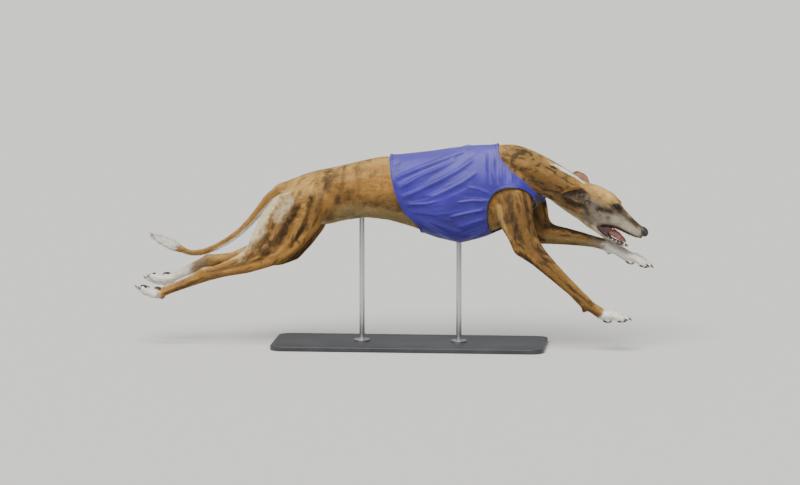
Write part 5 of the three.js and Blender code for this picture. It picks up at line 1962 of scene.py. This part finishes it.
def nose_finish():
    """Moist black leather, finely pebbled, blacker within the nostrils as painted shade."""
    nose = Finish("nose_leather", Specular_IOR_Level=0.5, Coat_Weight=0.25, Coat_Roughness=0.3)
    place = nose.place()
    pebble = nose.add("TexVoronoi", {"feature": "F1"}, {"Vector": place, "Scale": 820.0})
    patch = nose.noise(place, 120, 2)
    colour = nose.blend(nose.between(patch, 0.3, 0.7), solid("1C191A"), solid("2C2728"))
    # Blacker within the nostrils: painted shade in their hollows.
    colour = nose.blend(nose.between(nose.mark("nostril"), 0.25, 0.8), colour, solid("040303"))
    nose.feed("Base Color", colour)
    nose.feed("Roughness", 0.38 + patch * 0.16)
    nose.bump(0 - pebble, 0.6, 0.0006)
    return nose


def pad_finish():
    pad = Finish("pad_leather", Specular_IOR_Level=0.35)
    place = pad.place()
    grain = pad.add("TexVoronoi", {"feature": "F1"}, {"Vector": place, "Scale": 640.0})
    dust = pad.noise(place, 150, 3)
    pad.feed("Base Color", pad.blend(pad.between(dust, 0.3, 0.75), solid("2E2623"), solid("65564C")))
    pad.feed("Roughness", 0.66 + dust * 0.2)
    pad.bump(0 - grain, 0.7, 0.0009)
    return pad


def tongue_finish(name, light, dark):
    """Moist flesh with fine papillae and darker, smoother hollows, their darkness painted shade."""
    flesh = {"Subsurface_Weight": 0.12, "Subsurface_Scale": 0.004}
    tongue = Finish(name, Specular_IOR_Level=0.5, Coat_Weight=0.2, **flesh)
    place = tongue.place()
    papillae = tongue.noise(place, 1500, 2)
    blush = tongue.noise(place, 90, 3)
    # Blotchy flesh colour, darker where the same noise sinks the surface: painted shade in the hollows.
    tongue.feed("Base Color", tongue.blend(tongue.between(blush, 0.3, 0.7), solid(dark), solid(light)))
    tongue.feed("Roughness", 0.34 + papillae * 0.2)
    tongue.bump(papillae + blush * 0.4, 0.35, 0.0005)
    return tongue


def horn_finish(name, root, tip, mark):
    """Horn or tooth that changes colour from root to tip, with fine streaks along it."""
    horn = Finish(name, Specular_IOR_Level=0.5)
    streak = horn.noise(horn.stretched(horn.place(), (1, 3, 3)), 420, 3)
    colour = horn.blend(horn.between(horn.mark(mark), 0.05, 0.85), solid(root), solid(tip))
    shade = horn.blend(1.0, colour, (0.78, 0.74, 0.70, 1), "MULTIPLY")
    horn.feed("Base Color", horn.blend(horn.between(streak, 0.6, 0.35) * 0.6, colour, shade))
    horn.feed("Roughness", 0.26 + streak * 0.2)
    horn.bump(streak, 0.25, 0.0003)
    return horn


# The stand, in metres

PLATE_CORNER = 0.040
PLATE_EDGE = 0.0022
ROD_EDGE = 0.0008
ROD_TOP = 0.0024  # how far a rod goes on into the body
COLLAR_BAND = 0.0056
LEVEL = 1e-6  # how near two heights are when they are the same


def pick_top(obj):
    """Selects the faces that look up, and leaves the mesh in edit mode."""
    only(obj)
    bpy.ops.object.mode_set(mode="EDIT")
    bpy.ops.mesh.select_all(action="DESELECT")
    mesh = bmesh.from_edit_mesh(obj.data)
    for face in mesh.faces:
        face.select = face.normal.z > 0.9
    mesh.select_flush_mode()
    bmesh.update_edit_mesh(obj.data)


def edges_where(obj, test):
    """Selects the edges whose two ends pass a test, and leaves the mesh in edit mode."""
    only(obj)
    bpy.ops.object.mode_set(mode="EDIT")
    bpy.ops.mesh.select_mode(type="EDGE")
    bpy.ops.mesh.select_all(action="DESELECT")
    mesh = bmesh.from_edit_mesh(obj.data)
    for edge in mesh.edges:
        edge.select = bool(test(*(v.co for v in edge.verts)))
    bmesh.update_edit_mesh(obj.data)


def bevel_where(obj, test, width, segments):
    """Bevels the edges whose two ends pass a test."""
    edges_where(obj, test)
    bpy.ops.mesh.bevel(offset=width, segments=segments, affect="EDGES")
    bpy.ops.object.mode_set(mode="OBJECT")


def smooth_but_edges(obj, angle=35):
    only(obj)
    bpy.ops.object.shade_smooth_by_angle(angle=math.radians(angle))


def box_at(name, low, high):
    bpy.ops.object.select_all(action="DESELECT")
    bpy.ops.mesh.primitive_cube_add(size=1, location=(low + high) / 2)
    bpy.context.object.scale = high - low
    return placed(name)


def rod_at(name, x, low, high, radius, vertices=64):
    """An upright round bar at x, from one height to another."""
    bpy.ops.object.select_all(action="DESELECT")
    bpy.ops.mesh.primitive_cylinder_add(
        vertices=vertices, radius=radius, depth=high - low, location=(x, 0, (low + high) / 2)
    )
    return placed(name)


def make_stand():
    """A painted plate with rounded corners and eased edges, and two steel rods, each in a collar."""
    low, high = np.array(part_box("stand_base"))
    plate = box_at("stand_plate", low, high)
    bevel_where(plate, lambda a, b: abs(a.z - b.z) > 0.005, PLATE_CORNER, 14)
    bevel_where(plate, lambda a, b: min(a.z, b.z) > high[2] - LEVEL * 10, PLATE_EDGE, 4)
    bevel_where(plate, lambda a, b: max(a.z, b.z) < low[2] + LEVEL * 10, ROD_EDGE, 2)
    smooth_but_edges(plate)
    paint_finish().on(plate)
    finish(plate, "stand_plate", "stand_base")
    steel = steel_finish()
    for which in ("front", "rear"):
        low, high = np.array(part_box(f"stand_rod_{which}"))
        x, radius = (low[0] + high[0]) / 2, (high[0] - low[0]) / 2
        rod = rod_at(f"stand_rod_{which}_bar", x, low[2], high[2] + ROD_TOP, radius)
        bevel_where(rod, lambda a, b: abs(a.z - b.z) < LEVEL, ROD_EDGE, 3)
        smooth_but_edges(rod)
        steel.on(rod)
        finish(rod, "stand_steel", f"stand_rod_{which}")
        collar = make_collar(f"stand_collar_{which}_ring", x, *np.array(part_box(f"stand_collar_{which}")))
        steel.on(collar)
        finish(collar, "stand_steel", f"stand_collar_{which}")


def make_collar(name, x, low, high):
    """A flanged collar: a band, a sloping shoulder, a rounded lip, and a socket screw in the band."""
    radius = (high[0] - low[0]) / 2
    collar = rod_at(name, x, low[2], low[2] + COLLAR_BAND, radius)
    pick_top(collar)
    bpy.ops.mesh.inset(thickness=0.0008)
    bpy.ops.mesh.inset(thickness=0.0100)
    bpy.ops.transform.translate(value=(0, 0, high[2] - low[2] - COLLAR_BAND))
    bpy.ops.mesh.inset(thickness=0.0036)
    bpy.ops.transform.translate(value=(0, 0, -0.0010))
    bpy.ops.object.mode_set(mode="OBJECT")

    def round_edge(a, b):
        return abs(a.z - b.z) < LEVEL and abs(math.hypot(a.x - x, a.y) - math.hypot(b.x - x, b.y)) < LEVEL

    bevel_where(collar, round_edge, 0.0005, 3)
    smooth_but_edges(collar)
    screw = rod_at(name + "_screw", x, -0.0011, 0.0011, 0.0019, 24)
    pick_top(screw)
    bpy.ops.mesh.inset(thickness=0.0008)
    bpy.ops.transform.translate(value=(0, 0, -0.0012))
    bpy.ops.object.mode_set(mode="OBJECT")
    turn = Matrix.Translation((x, -radius, low[2] + COLLAR_BAND / 2)) @ Matrix.Rotation(math.pi / 2, 4, "X")
    screw.data.transform(turn @ Matrix.Translation((-x, 0, 0)))
    smooth_but_edges(screw)
    return join([collar, screw], name)


def paint_finish():
    """Satin dark grey paint on steel: a faint orange peel, dust, and fine rubbed marks."""
    paint = Finish("satin_paint", Metallic=0.0, Specular_IOR_Level=0.45, Coat_Weight=0.15, Coat_Roughness=0.3)
    place = paint.place()
    peel = paint.noise(place, 700, 2)
    dust = paint.noise(place, 9, 4)
    rubbed = paint.noise(paint.stretched(place, (1, 14, 1)), 60, 3)
    colour = paint.blend(paint.between(dust, 0.35, 0.75), solid("2B2C2F"), solid("3A3B3E"))
    paint.feed("Base Color", paint.blend(paint.between(rubbed, 0.62, 0.8) * 0.35, colour, solid("55565A")))
    paint.feed("Roughness", 0.36 + dust * 0.14 + rubbed * 0.08)
    paint.bump(peel, 0.12, 0.0003)
    return paint


def steel_finish():
    """Turned and brushed steel, with the fine rings that the brushing leaves."""
    steel = Finish("brushed_steel", Metallic=1.0)
    place = steel.place()
    rings = steel.noise(steel.stretched(place, (1, 1, 60)), 60, 3)
    smear = steel.noise(place, 25, 3)
    steel.feed("Base Color", steel.blend(smear, solid("B9BABC"), solid("D2D3D4")))
    steel.feed("Roughness", 0.22 + rings * 0.16 + smear * 0.06)
    steel.bump(rings, 0.15, 0.0002)
    return steel


def make_mouth_lining():
    """The cheeks' inner skin, stretched between the jaws behind the corners of the mouth."""
    rows, columns = 15, 11
    back, corner = 106, 146  # along the head, where the lining starts and where it ends at half its height
    points, faces = [], []
    for side in SIDES.values():
        faces += ring_faces(columns, rows, len(points), strip=True)
        for share, height in itertools.product(np.linspace(0, 1, columns), np.linspace(0, 1, rows)):
            reach = corner + 20 * (2 * height - 1) ** 2
            u = back + (reach - back) * share
            top = np.interp(u, [106, 126, 142, 166, 190], [-76, -70, -57, -47, -41])
            bottom = np.interp(u, [106, 128, 151, 176, 198], [-84, -82, -83, -79, -73])
            inset = np.interp(u, [106, 130, 152, 178, 205], [23, 20.5, 17.5, 15.5, 12.5])
            bow = 1.5 * math.sin(math.pi * height) * share
            points.append((u, side * (inset - bow), bottom + (top - bottom) * height))
    lining = face_out(mesh_object("mouth_lining", in_head(points), faces))
    modify(lining, "SOLIDIFY", thickness=1.4 * MM, offset=0.0)
    modify(lining, "SUBSURF", levels=1, render_levels=1)
    bpy.ops.object.shade_smooth()
    return lining


add_camera()
add_studio()
skin = make_skin()
lighten(skin)
work_muscles(skin)
shape_head(skin)
shape_paws(skin)
settle(skin)
refine_face(skin)
form_lids(skin)
only(skin)
bpy.ops.object.shade_smooth()
mark_skin(skin)
coat_finish("short_coat_skin", True).on(skin)
coat = grow_coat(skin)
tuft_finish = coat_finish("short_coat", False)
for piece in coat:
    tuft_finish.on(piece)
    finish(piece, "coat")
eyes = make_eyes()
eye_finish().on(*eyes)
nose_finish().on(make_nose())
tongue_finish("tongue_flesh", "8A5850", "6C4039").on(make_tongue())
lining = make_mouth_lining()
tongue_finish("cheek_lining", "4C2C29", "301B1A").on(lining)
finish(lining, "tongue")
horn_finish("tooth", "D9CBA6", "EDE7D8", "from_root").on(make_teeth())
horn_finish("claw_horn", "2C2623", "6E6054", "from_root").on(*make_claws())
pad_finish().on(*make_pads())
jacket, binding = make_jacket(skin)
cloth_finish("blue_cloth", "23137C", "33229A").on(jacket, binding)
finish(jacket, "jacket_cloth", "jacket")
finish(binding, "jacket_cloth")
make_stand()
finish(skin, "coat", *TRUNK, "head", "lower_jaw", *EARS, *TAIL, *LEGS)
